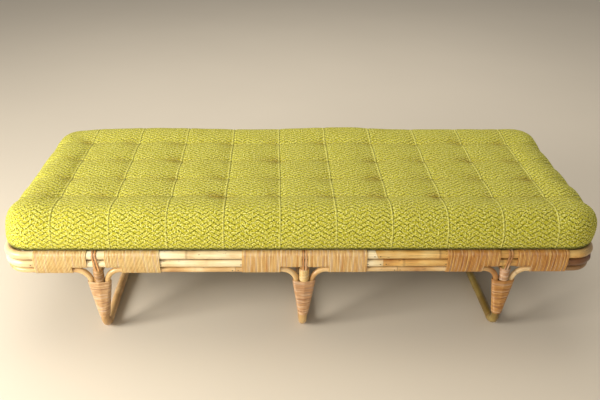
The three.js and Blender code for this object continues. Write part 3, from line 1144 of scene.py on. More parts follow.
@dataclass
class Rails:
    """The two bent rings of the bed, each in two lengths that meet in a joint."""

    work: PoleWork
    top_slant: float = math.radians(25)
    slant_reach: float = 40 * MM
    crevice: float = 0.85
    scorch_top: tuple[float, float] = (0.875, 0.5)
    scorch_lower: tuple[float, float] = (0.81, 0.88)
    node_places: dict[str, float] = field(
        default_factory=lambda: {
            "top_rail_left": -0.372, "lower_rail_left": -0.312, "top_rail_right": 0.43,
            "lower_rail_right": 0.315
        }
    )

    def build(self) -> None:
        """Make the four lengths."""
        self._ring("top_rail", self.work.layout.top_z, self.top_slant)
        self._ring("lower_rail", self.work.layout.lower_z, 0.0)

    def _ring(self, name: str, z: float, slant: float) -> None:
        """Make the left and right length of one ring.

        Args:
            name: The ring's word in node names.
            z: The height of its centreline.
            slant: How far the joint leans from upright.
        """
        layout, palette = self.work.layout, self.work.palette
        joint_x = (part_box(f"{name}_left")[1].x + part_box(f"{name}_right")[0].x) / 2
        for end in End:
            node = f"{name}_{end.label}"
            start_x = joint_x + end.value * layout.joint_gap / 2
            stops = [(start_x, -1), (end.value * layout.rail_x, -1)]
            stops += [(end.value * layout.rail_x, 1), (start_x, 1)]
            path = bent_path([(x, way * layout.rail_y, z) for x, way in stops], [layout.corner_bend] * 2)
            # the right half takes the darker copy with painted shade
            finish = palette.rail if end is End.LEFT else palette.rail_shaded
            phase = abs(self.node_places[node] - start_x)
            piece = self.work.pole(node, path, layout.pole, finish, phase=phase)
            self._slant_ends(piece, joint_x, z, slant)
            self._soil_crevices(piece, z)
            settle(piece, "frame", "rail", node)

    def _soil_crevices(self, piece: Piece, z: float) -> None:
        """Paint shade on the sides that face the next pole, and darken the right bends with painted
        shade of the dim right end and a browner tone.

        Args:
            piece: The length of rail.
            z: The height of its centreline.
        """
        layout = self.work.layout
        places = read_places(piece.data)
        tilt = np.abs(places[:, 2] - z) / layout.pole
        towards = np.where(places[:, 2] > z, z < layout.top_z, True)
        # painted shade in the crevice between the top and lower rail
        crevice = self.crevice * climb(tilt, 0.86, 0.12) * towards
        # darker towards the right end: partly painted shade of the dim end, partly a browner tone
        start, depth = self.scorch_top if z == layout.top_z else self.scorch_lower
        scorch = self.work.scorch(places[:, 0], start, depth)
        store_shade(piece, "soil", np.maximum(crevice, scorch))

    def _slant_ends(self, piece: Piece, joint_x: float, z: float, slant: float) -> None:
        """Lean the end faces at the joint, top towards the left.

        Args:
            piece: The length of rail.
            joint_x: The joint's X.
            z: The height of its centreline.
            slant: How far the joint leans from upright.
        """
        for vertex in piece.data.vertices:
            nearness = 1 - abs(vertex.co.x - joint_x) / self.slant_reach
            if nearness > 0:
                vertex.co.x -= math.tan(slant) * (vertex.co.z - z) * nearness


@dataclass
class Braces:
    """The thin canes that rise beside the posts and run under the rails."""

    work: PoleWork
    foot_depth: float = 30 * MM
    foot_taper: float = 0.6
    foot_narrowing: float = 0.15
    shoulder: float = 1.5 * MM
    side_gap: float = 0.9 * MM
    scorch_from: float = 0.81
    scorch_depth: float = 0.7

    def build(self) -> None:
        """Make two lengths in each middle bay and one round each end."""
        for side in Side:
            for bay in End:
                self._bay(side, bay)
        for end in End:
            self._end(end)

    def _rise(self, x: float, y: float, way: int) -> tuple[list[Point], float]:
        """Give the first corners of a brace that leaves a leg, and its bend radius.

        Args:
            x: The leg's X.
            y: The leg's Y.
            way: 1 for a brace that goes to the right, and -1 for one to the left.

        Returns:
            The corners and the bend radius.
        """
        layout = self.work.layout
        offset = layout.brace_offset + self.side_gap
        foot_offset = offset - self.foot_narrowing * self.foot_depth
        foot = (x + way * foot_offset, y, layout.cone_top - self.foot_depth)
        bend = layout.step_from_leg - self.shoulder - offset
        return [foot, (x + way * offset, y, layout.brace_z)], bend

    def _cane(self, node: str, path: np.ndarray) -> Piece:
        """Sweep a brace that thins where it is hidden in the cone of peel.

        Args:
            node: The node that it stands for.
            path: Its centreline.

        Returns:
            The brace.
        """
        layout = self.work.layout
        depth = np.clip((layout.cone_top - path[:, 2]) / self.foot_depth, 0, 1)
        tapers = list(1 - (1 - self.foot_taper) * depth)
        return self.work.pole(node, path, layout.cane, self.work.palette.brace, tapers)

    def _with_foot(self, path: np.ndarray) -> np.ndarray:
        """Add a point in a path's first straight stretch, so that its taper starts late.

        Args:
            path: The path.

        Returns:
            The longer path.
        """
        share = (self.work.layout.cone_top - path[0][2]) / (path[1][2] - path[0][2])
        middle = path[0] + (path[1] - path[0]) * min(0.95, share)
        return np.vstack([path[:1], middle[None], path[1:]])

    def _bay(self, side: Side, bay: End) -> None:
        """Make the two lengths that meet in one bay.

        Args:
            side: The side of the bed.
            bay: The end that the bay is nearer to.
        """
        layout = self.work.layout
        y = side.value * layout.rail_y
        for part, leg in (("outer", bay.label), ("inner", "middle")):
            node = f"brace_{side.label}_{bay.label}_{part}"
            low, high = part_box(node)
            leg_x = layout.leg_x(leg)
            way = 1 if high.x - leg_x > leg_x - low.x else -1
            reach = high.x if way > 0 else low.x
            corners, bend = self._rise(leg_x, y, way)
            corners.append((reach - way * layout.joint_gap / 2, y, layout.brace_z))
            piece = self._cane(node, self._with_foot(bent_path(corners, [bend])))
            settle(piece, "frame", "brace", node)

    def _end(self, end: End) -> None:
        """Make the length that goes round one end of the bed.

        Args:
            end: The end.
        """
        layout = self.work.layout
        node = f"brace_end_{end.label}"
        leg_x = layout.leg_x(end.label)
        front, bend = self._rise(leg_x, -layout.rail_y, end.value)
        rear, _ = self._rise(leg_x, layout.rail_y, end.value)
        turns = [(end.value * layout.rail_x, way * layout.rail_y, layout.brace_z) for way in (-1, 1)]
        bends = [bend, layout.corner_bend, layout.corner_bend, bend]
        path = bent_path([*front, *turns, *reversed(rear)], bends)
        piece = self._cane(node, self._with_foot(self._with_foot(path)[::-1]))
        x = read_places(piece.data)[:, 0]
        # darker towards the right end: partly painted shade of the dim end, partly a browner tone
        store_shade(piece, "soil", self.work.scorch(x, self.scorch_from, self.scorch_depth))
        settle(piece, "frame", "brace", node)


@dataclass
class Sleds:
    """The three legs: front post, floor runner and rear post bent from one pole."""

    work: PoleWork
    post_top: float = 8 * MM
    node_spacing: float = 0.17
    runner_nodes: dict[str, float] = field(
        default_factory=lambda: {"left": 0.43, "middle": 0.51, "right": 0.62}
    )

    def build(self) -> None:
        """Make the sleds, each with its tops shaped to the rail."""
        for name in LEGS:
            self._sled(name)

    def _sled(self, name: str) -> None:
        """Bend one sled.

        Args:
            name: The leg's name.
        """
        layout = self.work.layout
        x = layout.leg_x(name)
        top = layout.lower_z - layout.pole + self.post_top
        stops = [(-1, top), (-1, layout.pole), (1, layout.pole), (1, top)]
        path = bent_path([(x, way * layout.rail_y, z) for way, z in stops], [layout.sled_bend] * 2)
        node = f"sled_{name}"
        # each leg's sled finish is its copy graded for painted light
        finish = self.work.palette.sleds[name]
        phase = self.runner_nodes[name]
        piece = self.work.pole(node, path, layout.pole, finish, phase=phase, spacing=self.node_spacing)
        self._fit(piece)
        settle(piece, "frame", "sled", node)

    def _fit(self, piece: Piece) -> None:
        """Wear the runner flat on the floor, and shape the tops to the rail above them.

        Args:
            piece: The sled.
        """
        layout = self.work.layout
        reach = layout.pole + layout.clear
        for vertex in piece.data.vertices:
            vertex.co.z = max(vertex.co.z, 0.0)
            across = min(abs(abs(vertex.co.y) - layout.rail_y), reach)
            roof = layout.lower_z - math.sqrt(reach**2 - across**2)
            if vertex.co.z > layout.lower_z - layout.pole - self.post_top:
                vertex.co.z = min(vertex.co.z, roof)


@dataclass
class Deck:
    """What carries the mattress: ledgers, slats, a spine and the sleds' cross bars."""

    work: PoleWork

    def build(self) -> None:
        """Make each straight rod of the deck from its node's box."""
        for node in sorted(frame["nodes"]):
            if node.startswith(("slat_", "cross_bar_")):
                self._rod(node, 1)
            elif node.startswith(("ledger_", "spine")):
                self._rod(node, 0)

    def _rod(self, node: str, axis: int) -> None:
        """Make one rod.

        Args:
            node: The node that it stands for.
            axis: 0 for a rod along X and 1 for one along Y.
        """
        low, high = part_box(node)
        ends = np.tile((low + high) / 2, (2, 1))
        ends[:, axis] = low[axis], high[axis]
        path = np.linspace(ends[0], ends[1], 3)
        piece = self.work.pole(node, path, (high.z - low.z) / 2, self.work.palette.deck)
        settle(piece, "frame", "deck", node)


# ---------------------------------------------------------------------------------------
# Wound peel
# ---------------------------------------------------------------------------------------

QUARTER = math.pi / 2
WOUND_ALONG_BED = (QUARTER, 0.0, QUARTER)


@dataclass
class LegUnit:
    """What is wound round one post and the rails above it."""

    layout: Layout
    palette: Palette
    tool: WindingTool
    side: Side
    leg: str
    number: int
    strand_width: float = 4.2 * MM
    strand_thickness: float = 1.9 * MM
    foot_clearance: float = 1.2 * MM
    slant: float = 1.6 * MM
    puff: float = 0.006
    binding_width: float = 6.6 * MM
    binding_gap: float = 2.2 * MM
    outer_trim: dict[str, float] = field(default_factory=lambda: {"left": 7 * MM, "right": 4 * MM})
    binding_leans: dict[str, tuple[float, float]] = field(
        default_factory=lambda: {
            "left": (-4 * MM, 2 * MM), "middle": (0.0, 0.0), "right": (5 * MM, -4 * MM)
        }
    )

    def __post_init__(self) -> None:
        """Work out what every winding of this leg shares."""
        self.label = f"{self.side.label}_{self.leg}"
        self.leg_x = self.layout.leg_x(self.leg)
        self.y = self.side.value * self.layout.rail_y
        self.lift = self.layout.clear + self.strand_thickness / 2

    def build(self) -> None:
        """Make the leg wrap, both rail wraps and the binding."""
        self._leg_wrap()
        for letter in "lr":
            self._rail_wrap(letter)
        self._binding()

    def _wind(
        self, outline_at: Callable[[float], Outline], start: float, stop: float, seed: float
    ) -> Strand:
        """Wind a strand round local Z from start to stop.

        Args:
            outline_at: Gives the tight outline at a height.
            start: The height where the winding starts.
            stop: The height where it stops.
            seed: Makes one winding's unevenness differ from the next.

        Returns:
            The strand's points and the number of points in a turn.
        """
        points = []
        turns = max(1, round(abs(stop - start) / self.strand_width))
        pitch = (stop - start) / turns
        count = 0
        for i in range(turns):
            outline = outline_at(start + (i + 0.5) * pitch)
            count = len(outline)
            lean = self.slant * noise.noise((seed, i * 0.11, 0.0))
            tall = max(abs(p[0][1]) for p in outline)
            for j, (point, _) in enumerate(outline):
                rise = (i + j / count) * pitch + lean * point[1] / tall
                puff = 1 + self.puff * noise.noise((seed + 9.1, i * 0.9, j * 0.2))
                points.append((point[0] * puff, point[1] * puff, start + rise))
        return np.array(points), count

    def _mesh(
        self, name: str, slot: str, strands: Sequence[Strand], finishes: Sequence[Material], turn: Point,
        move: Point, width: float
    ) -> None:
        """Sweep strands, join them into one piece and tie it to the frame.

        Args:
            name: The piece's name and its node's.
            slot: The record's material slot.
            strands: For each strand its points and the points in a turn.
            finishes: Each strand's finish.
            turn: Euler angles from the local frame.
            move: Where the local frame's origin goes.
            width: The strand's width.
        """
        parts = []
        for i, ((points, per_turn), finish) in enumerate(zip(strands, finishes)):
            values = {
                "Strand Width": width, "Strand Thickness": self.strand_thickness,
                "Points per Turn": float(per_turn), "Seed": 13.7 * self.number + 40.0 * i,
                "Rotation": turn, "Translation": move, "Material": finish
            }
            part_name = f"{name}_{i}" if i else name
            parts.append(self.tool.run(part_name, curve_carrier(points), values))
        with bpy.context.temp_override(active_object=parts[0], selected_editable_objects=parts):
            bpy.ops.object.join()
        settle(parts[0], "frame", slot, name)

    def _leg_wrap(self) -> None:
        """Wind the cone round the post and its braces, and the sleeve above it."""
        layout = self.layout
        foot = layout.pole + self.foot_clearance + self.lift
        cane = layout.cane + self.lift
        post = Ring(0.0, 0.0, layout.pole + self.lift)
        rods = [Ring(-layout.brace_offset, 0.0, cane), post, Ring(layout.brace_offset, 0.0, cane)]
        top = tight_outline(rods)
        sleeve = tight_outline([post])

        def cone(height: float) -> Outline:
            """Narrow the outline from the cone's top towards its foot."""
            share = (height - layout.cone_foot) / (layout.cone_top - layout.cone_foot)
            return [(between((foot * way[0], foot * way[1]), p, share), way) for p, way in top]

        seed = 3.1 * self.number
        strands = [
            self._wind(cone, layout.cone_foot, layout.cone_top, seed),
            self._wind(lambda _: sleeve, layout.cone_top, layout.sleeve_top, seed + 1)
        ]
        # the cone copies carry painted shade, and the right sleeve a painted highlight
        finishes = [self.palette.cones[self.leg], self.palette.sleeves[self.leg]]
        node, where = f"leg_wrap_{self.label}", (self.leg_x, self.y, 0.0)
        self._mesh(node, "peel", strands, finishes, (0.0, 0.0, 0.0), where, self.strand_width)

    def _rail_wrap(self, letter: str) -> None:
        """Wind one rail wrap: round the rails, and past the step round the brace as well.

        Args:
            letter: l for the wrap on the left of the leg and r for the one on its right.
        """
        layout = self.layout
        node = f"rail_wrap_{self.label}_{letter}"
        low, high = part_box(node)
        way = 1 if letter == "r" else -1
        near, far = (low.x, high.x) if way > 0 else (high.x, low.x)
        if way * self.leg_x > 0:
            far -= way * self.outer_trim[self.leg]
        step = self.leg_x + way * layout.step_from_leg
        rods = [(layout.top_z, layout.pole), (layout.lower_z, layout.pole), (layout.brace_z, layout.cane)]
        rings = [Ring(0.0, z - layout.mid_z, radius + self.lift) for z, radius in rods]
        shallow, deep = tight_outline(rings[:2]), tight_outline(rings)
        seed = 5.3 * self.number + (0.5 if way > 0 else 0.0)
        strands = [
            self._wind(lambda _: shallow, near, step, seed),
            self._wind(lambda _: deep, step, far, seed + 1)
        ]
        # each leg's peel is its copy graded for painted light
        finishes = [self.palette.peels[self.leg]] * 2
        where = (0.0, self.y, layout.mid_z)
        self._mesh(node, "peel", strands, finishes, WOUND_ALONG_BED, where, self.strand_width)

    def _binding(self) -> None:
        """Loop two strands side by side over both rails, down to the top of the post."""
        layout = self.layout
        reach = layout.pole + self.lift
        rise = layout.top_z - layout.mid_z
        foot = layout.binding_foot - layout.mid_z
        top_lean, foot_lean = self.binding_leans[self.leg]
        drop = np.linspace(foot, rise, 12)
        arc = np.linspace(0, math.pi, 15)[1:-1]
        front = [(-reach, h) for h in drop]
        over = [(-reach * math.cos(a), rise + reach * math.sin(a)) for a in arc]
        back = [(reach, h) for h in drop[::-1]]
        strands = []
        for way in (-1, 1):
            shift = way * (self.binding_width + self.binding_gap) / 2
            points = []
            for y, z in [*front, *over, *back]:
                share = min(1.0, max(0.0, (z - foot) / (rise - foot)))
                lean = foot_lean + (top_lean - foot_lean) * share
                points.append((y, z, shift + lean))
            strands.append((np.array(points), len(points)))
        finishes = [self.palette.binding] * 2
        node, where = f"post_binding_{self.label}", (self.leg_x, self.y, layout.mid_z)
        self._mesh(node, "binding", strands, finishes, WOUND_ALONG_BED, where, self.binding_width)


@dataclass
class Brads:
    """The small nails that hold pole joints and wrap ends."""

    layout: Layout
    palette: Palette
    head: float = 1.9 * MM
    proud: float = 0.9 * MM
    from_joint: float = 9 * MM
    from_wrap_end: float = 3 * MM

    def build(self) -> None:
        """Drive every nail from the outside of the two long sides."""
        points: list[Vector] = []
        facings: list[Vector] = []
        for side in Side:
            for x, z, radius in [*self._joints(side), *self._wrap_ends(side)]:
                points.append(Vector((x, side.value * (self.layout.rail_y + radius), z)))
                facings.append(Vector((0.0, side.value, 0.0)))
        sizes = {"Head Length": self.head, "Head Width": self.head, "Head Height": self.proud}
        heads = StudTool("brad_heads", 12, 6).run(
            "brad_heads", point_carrier(points, facings), {**sizes, "Material": self.palette.nail}
        )
        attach(heads, "frame")
        log.info("brad_heads: %d nails", len(points))

    def _joints(self, side: Side) -> list[Point]:
        """Find the nails beside each joint.

        Args:
            side: The side of the bed.

        Returns:
            For each nail its X, its Z and the pole's radius.
        """
        layout = self.layout
        joints = []
        for name, z in (("top_rail", layout.top_z), ("lower_rail", layout.lower_z)):
            x = (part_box(f"{name}_left")[1].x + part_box(f"{name}_right")[0].x) / 2
            joints.append((x, z, layout.pole))
        for bay in End:
            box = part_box(f"brace_{side.label}_{bay.label}_inner")
            joints.append((box[0 if bay is End.LEFT else 1].x, layout.brace_z, layout.cane))
        return [(x + way * self.from_joint, z, r) for x, z, r in joints for way in (-1, 1)]

    def _wrap_ends(self, side: Side) -> list[Point]:
        """Find the nail that holds the last turn of each wrap.

        Args:
            side: The side of the bed.

        Returns:
            For each nail its X, its Z and the pole's radius.
        """
        found = []
        for leg in LEGS:
            for letter in "lr":
                low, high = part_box(f"rail_wrap_{side.label}_{leg}_{letter}")
                x = high.x + self.from_wrap_end if letter == "r" else low.x - self.from_wrap_end
                found.append((x, self.layout.lower_z, self.layout.pole))
        return found


# ---------------------------------------------------------------------------------------
# Mattress
# ---------------------------------------------------------------------------------------


@dataclass(frozen=True)
class Hump:
    """A soft rise or hollow that use has left in the filling."""

    x: float
    y: float
    width: float
    height: float

    def lift(self, x: np.ndarray, y: np.ndarray) -> np.ndarray:
        """Give the hump's height over each place."""
        away = ((x - self.x) ** 2 + (y - self.y) ** 2) / self.width**2
        return self.height * np.exp(-away)


@dataclass(frozen=True)
class Stuffing:
    """How the cover is blown up: the cloth's own values, and how far it may go."""

    frames: int = 20
    quality: int = 5
    mass: float = 0.4
    stretch: float = 15.0
    shear: float = 8.0
    bending: float = 2.0
    pressure: float = 4.0
    swell_cap: float = 9 * MM

    def blow_up(self, piece: Piece, held: np.ndarray) -> np.ndarray:
        """Simulate the cover under pressure.

        Args:
            piece: The cover.
            held: The numbers of the vertices that stay.

        Returns:
            How far each vertex moves.
        """
        piece.vertex_groups.new(name="held").add(held.tolist(), 1.0, "REPLACE")
        before = read_places(piece.data)
        modifier = piece.modifiers.new("stuffing", "CLOTH")
        cloth = modifier.settings
        cloth.quality = self.quality
        cloth.mass = self.mass
        cloth.tension_stiffness = cloth.compression_stiffness = self.stretch
        cloth.shear_stiffness = self.shear
        cloth.bending_stiffness = self.bending
        cloth.effector_weights.gravity = 0
        cloth.use_pressure = True
        cloth.uniform_pressure_force = self.pressure
        cloth.vertex_group_mass = "held"
        modifier.point_cache.frame_start = 1
        modifier.point_cache.frame_end = self.frames
        scene = bpy.context.scene
        for number in range(1, self.frames + 1):
            scene.frame_set(number)
        graph = bpy.context.evaluated_depsgraph_get()
        moved = read_places(piece.evaluated_get(graph).data) - before
        piece.modifiers.remove(modifier)
        scene.frame_set(1)
        length = np.linalg.norm(moved, axis=1, keepdims=True)
        log.info("stuffing moved the cover by up to %.1f mm", float(length.max()) / MM)
        capped = self.swell_cap * np.tanh(length / self.swell_cap) / np.maximum(length, 1e-9)
        return moved * capped


@dataclass
class Mattress:
    """The loose mattress: eleven sewn panels, four rows of tufts and soft rolled edges."""

    layout: Layout
    palette: Palette
    stuffing: Stuffing = Stuffing()
    seam_count: int = 10
    seam_pitch: float = 175.3 * MM
    seam_shift: float = 8.6 * MM
    tuft_rows: tuple[float, ...] = (-0.220, -0.095, 0.045, 0.190)
    top_edge: float = 46 * MM
    foot_edge: float = 24 * MM
    corner: float = 86 * MM
    slack: float = 3 * MM
    cell: float = 15 * MM
    tuft_depth: float = 6.5 * MM
    tuft_spread: float = 26 * MM
    tuft_stitch: Point = (7 * MM, 1.6 * MM, 1.4 * MM)
    crease_depth: float = 2.6 * MM
    end_crease: float = 9 * MM
    seam_stray: float = 1.8 * MM
    stray_size: float = 110 * MM
    crease_width: float = 11 * MM
    seam_dip: float = 1.4 * MM
    seam_ridge: float = 1.2 * MM
    seam_width: float = 2.0 * MM
    seam_reach: float = 60 * MM
    crease_zone: tuple[float, float] = (0.84, 0.07)
    end_zone: tuple[float, float] = (0.82, 0.1)
    side_zone: tuple[float, float] = (0.26, 0.09)
    rub_left: float = 0.35
    rub_right: float = 0.85
    sag_left: float = 9 * MM
    sag_right: float = 14 * MM
    lean_left: float = -4 * MM
    lean_right: float = 13 * MM
    sag_sides: float = 3 * MM
    rumple: float = 1.6 * MM
    rumple_size: float = 75 * MM
    top_tint: float = 0.12
    dimple_wear: float = 0.65
    dimple_size: tuple[float, float] = (42 * MM, 24 * MM)
    dimple_shift: float = 20 * MM
    foot_shade_from: float = -0.56
    rail_clearance: float = 4 * MM
    humps: tuple[Hump, ...] = (
        Hump(0.16, 0.36, 0.20, 12 * MM), Hump(-0.55, 0.36, 0.26, 6 * MM), Hump(0.66, 0.36, 0.26, 8 * MM),
        Hump(-0.90, 0.34, 0.15, -10 * MM), Hump(0.90, 0.30, 0.10, 6 * MM),
        Hump(-0.90, -0.30, 0.10, 7 * MM)
    )

    def __post_init__(self) -> None:
        """Read the mattress's box and place its seams."""
        low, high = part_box("mattress_cover")
        self.half = (high - low) / 2
        self.middle = (low + high) / 2
        first = self.seam_shift - self.seam_pitch * (self.seam_count - 1) / 2
        self.seams = np.array([first + self.seam_pitch * i for i in range(self.seam_count)])

    def build(self) -> None:
        """Shape, stuff, sew and dress the mattress."""
        piece = new_mesh_object("mattress", self._shell())
        self._stuff(piece)
        self._subdivide(piece)
        self._sew(piece)
        piece.data.materials.append(self.palette.twill)
        settle(piece, "mattress", "fabric", "mattress_cover", "mattress_core")
        self._tie_tufts(piece)

    # -- the starting shape --

    def _lines(self, half: float, marks: Sequence[float], fans: Sequence[float]) -> list[float]:
        """Space grid lines along one axis.

        Args:
            half: Half of the mattress's size on this axis.
            marks: Places that need a line of their own.
            fans: Distances from each mark that need a line as well.

        Returns:
            The lines' places, from low to high.
        """
        fixed = {-half, half}
        for mark in marks:
            fixed.update(mark + way * fan for fan in (0.0, *fans) for way in (-1, 1))
        stops = sorted(fixed)
        lines = [stops[0]]
        for a, b in zip(stops, stops[1:]):
            count = max(1, round((b - a) / self.cell))
            lines.extend(a + (b - a) * i / count for i in range(1, count + 1))
        return lines

    def _shell(self) -> Mesh:
        """Build the closed grid of the cover with its cloth UV map.

        Returns:
            The cover's mesh.
        """
        hx, hy, hz = self.half
        xs = self._lines(hx, self.seams, (3 * MM, 8 * MM))
        ys = self._lines(hy, self.tuft_rows, ())
        zs = self._lines(hz, (), ())
        numbers: dict[tuple[int, ...], int] = {}
        places: list[Point] = []
        faces: list[list[int]] = []
        cloth: list[float] = []

        def number(p: Sequence[float]) -> int:
            """Number a point, and place it if it is new.

            Args:
                p: The point on the plain box.

            Returns:
                Its number in the mesh.
            """
            key = tuple(round(v / (0.01 * MM)) for v in p)
            if key not in numbers:
                numbers[key] = len(places)
                places.append(tuple(self._rounded(p)))
            return numbers[key]

        def patch(us: list[float], vs: list[float], axis: int, way: int) -> None:
            """Lay the faces of one side of the box.

            Args:
                us: Grid lines along the first of the side's own axes.
                vs: Grid lines along the second.
                axis: The axis that the side looks along.
                way: 1 for the far side on that axis and -1 for the near one.
            """
            others = [i for i in range(3) if i != axis]
            for u0, u1 in zip(us, us[1:]):
                for v0, v1 in zip(vs, vs[1:]):
                    square = [(u0, v0), (u1, v0), (u1, v1), (u0, v1)]
                    if way * (-1) ** axis < 0:
                        square.reverse()
                    face = []
                    for u, v in square:
                        p = [way * self.half[axis]] * 3
                        p[others[0]], p[others[1]] = u, v
                        face.append(number(p))
                        cloth.extend(self._cloth_place(p, axis))
                    faces.append(face)

        for way in (1, -1):
            patch(xs, ys, 2, way)
            patch(xs, zs, 1, way)
            patch(ys, zs, 0, way)
        mesh = bpy.data.meshes.new("mattress")
        mesh.from_pydata(places, [], faces)
        mesh.uv_layers.new(name="cloth").data.foreach_set("uv", cloth)
        return mesh

    def _rounded(self, p: Sequence[float]) -> Vector:
        """Move a point of the plain box onto the rolled edges and round corners.

        Args:
            p: The point, from the mattress's middle.

        Returns:
            Its place on the bed.
        """
        hx, hy, hz = (h - self.slack for h in self.half)
        x, y, z = (abs(v) * (h - self.slack) / h for v, h in zip(p, self.half))
        edge = self.top_edge if p[2] > 0 else self.foot_edge
        over_x, over_y = x - (hx - self.corner), y - (hy - self.corner)
        reach = max(over_x, over_y)
        inset, drop = self.corner - reach, hz - z
        path = inset if inset > 1e-9 else -drop
        if abs(path) < edge:
            angle = (path + edge) / (2 * edge) * math.pi / 2
            inset = edge * (1 - math.cos(angle))
            z = hz - edge * (1 - math.sin(angle))
        if reach > 0:
            spread = (self.corner - inset) / reach
            if over_x > 0 and over_y > 0:
                spread *= reach / math.hypot(over_x, over_y)
            x = x + max(over_x, 0.0) * (spread - 1)
            y = y + max(over_y, 0.0) * (spread - 1)
        signed = (math.copysign(a, b) for a, b in zip((x, y, z), p))
        return Vector(signed) + self.middle

    def _cloth_place(self, p: Sequence[float], axis: int) -> tuple[float, ...]:
        """Give a point's place on the flat cloth, in metres.

        Args:
            p: The point on the plain box.
            axis: The axis that the point's face looks along.

        Returns:
            The place along the bed and across it, unrolled down the sides.
        """
        drop = self.half.z - p[2] if axis < 2 else 0.0
        bend = self.top_edge
        spots = []
        for way in (0, 1):
            path = self.half[way] - abs(p[way]) - (drop if axis == way else 0.0)
            if abs(path) < bend:
                rolled = path * math.pi / 4
            else:
                rolled = math.copysign(abs(path) - bend + bend * math.pi / 4, path)
            length = self.half[way] - bend + bend * math.pi / 4 - rolled
            spots.append(math.copysign(length, p[way]))
        return tuple(spots)

    # -- stuffing --

    def _tufts(self) -> Iterator[tuple[float, float, float]]:
        """Go through the tufts.

        Yields:
            Each tuft's X and Y, and how hard it is tied, from about 0.5 to 1.
        """
        for x in self.seams:
            for y in self.tuft_rows:
                chance = noise.noise((x * 31.7, y * 17.3, 0.5))
                yield float(x), y, min(1.0, max(0.45, 0.78 + 0.5 * chance))

    def _tuft_pull(self, places: np.ndarray) -> np.ndarray:
        """Give how hard the tufts hold the top down at each place.

        Args:
            places: The places.

        Returns:
            The pull, from 0 to 1.
        """
        pull = np.zeros(len(places))
        for x, y, force in self._tufts():
            away = np.hypot(places[:, 0] - x, places[:, 1] - y)
            pull = np.maximum(pull, force * np.exp(-away / self.tuft_spread))
        return pull

    def _stuff(self, piece: Piece) -> None:
        """Blow the cover up with the tufts and the underside held.

        Args:
            piece: The cover.
        """
        before = read_places(piece.data)
        share = (before[:, 2] - self.middle.z) / self.half.z
        pull = self._tuft_pull(before) * (share > 0.6)
        before[:, 2] -= self.tuft_depth * pull
        write_places(piece.data, before)
        held = np.flatnonzero((share < -0.75) | (pull > 0.44))
        write_places(piece.data, before + self.stuffing.blow_up(piece, held))

    def _subdivide(self, piece: Piece) -> None:
        """Add one level of subdivision for good.

        Args:
            piece: The cover.
        """
        modifier = piece.modifiers.new("fine", "SUBSURF")
        modifier.levels = modifier.render_levels = 1
        fine = plain_mesh(piece)
        piece.modifiers.remove(modifier)
        coarse = piece.data
        piece.data = fine
        bpy.data.meshes.remove(coarse)
        fine.polygons.foreach_set("use_smooth", [True] * len(fine.polygons))

    # -- sewing --

    def _sew(self, piece: Piece) -> None:
        """Press seams, creases and settled humps into the cover, and store its shading.

        Args:
            piece: The cover.
        """
        mesh = piece.data
        places = read_places(mesh)
        normals = np.empty(len(places) * 3)
        mesh.vertex_normals.foreach_get("vector", normals)
        normals = normals.reshape(-1, 3)
        nearest = self.seams[np.abs(places[:, 0][:, None] - self.seams).argmin(axis=1)]
        off_seam = places[:, 0] - nearest - self._seam_wander(places, nearest)
        off_row = np.abs(places[:, 1][:, None] - np.array(self.tuft_rows)).min(axis=1)
        height = np.clip((places[:, 2] - self.middle.z) / self.half.z, -1, 1)
        upper = np.clip(height * 1.6 - 0.3, 0, 1)
        faces_round = np.abs(normals[:, 0]) < 0.75
        width = self.seam_width
        ridge = bell(off_seam, width)
        groove = bell(off_seam - 2 * width, width)
        seam = self.seam_ridge * (ridge - groove) - self.seam_dip * bell(off_seam, 6 * width)
        at_end = climb(np.abs(places[:, 0]), *self.crease_zone)
        fold = bell(off_row, self.crease_width) * upper
        crease = fold * (0.35 + 0.65 * bell(off_seam, self.seam_reach))
        soft_fold = bell(off_row, 2.4 * self.crease_width) * upper
        push = np.where(faces_round, seam * (0.5 + 0.5 * upper), 0.0) - crease * self.crease_depth
        push -= self.end_crease * at_end * soft_fold
        push += self.rumple * self._rumples(places) * np.clip(height + 0.5, 0, 1)
        places += normals * push[:, None]
        self._sag(places, height)
        for hump in self.humps:
            places[:, 2] += hump.lift(places[:, 0], places[:, 1]) * np.clip(height + 0.6, 0, 1)
        self._clear_rail(places)
        write_places(mesh, places)
        # painted shade in the dimples and creases, added to an ochre tint over the top
        painted_darkening = self.top_tint * upper + self._dimple_wear(places) * upper + 0.2 * crease
        along_seam = np.where(faces_round, 1.0, 0.0)
        # painted shadow on the side of each seam away from the light
        line = bell(off_seam - 1.8 * width, width) * along_seam
        # painted shade along the foot of the mattress
        foot = np.clip((self.foot_shade_from - height) / 0.08, 0, 1)
        # painted highlight on the seam ridges, stronger towards the right
        seam_highlight = self.rub_left + (self.rub_right - self.rub_left) * climb(
            nearest, -self.half.x, 2 * self.half.x
        )
        store_shade(piece, "press", np.clip(painted_darkening, 0, 1))
        store_shade(piece, "stitch", np.maximum(0.2 * line, 0.7 * foot))
        store_shade(piece, "ridge", seam_highlight * ridge**2 * along_seam * (1 - foot))

    def _dimple_wear(self, places: np.ndarray) -> np.ndarray:
        """Give the painted shade beside each tuft, mostly on the side of the panel to its left, which
        faces away from the light.

        Args:
            places: The cover's vertices.

        Returns:
            The painted shade at each of them, from 0 to 1.
        """
        painted_darkening = np.zeros(len(places))
        long, wide = self.dimple_size
        for x, y, force in self._tufts():
            off_x = (places[:, 0] - x + self.dimple_shift) / long
            off_y = (places[:, 1] - y) / wide
            beside = np.exp(-(off_x**2) - off_y**2) * (0.35 + 0.65 * (places[:, 0] < x))
            painted_darkening = np.maximum(painted_darkening, (1.6 * force - 0.6) * beside)
        return self.dimple_wear * painted_darkening

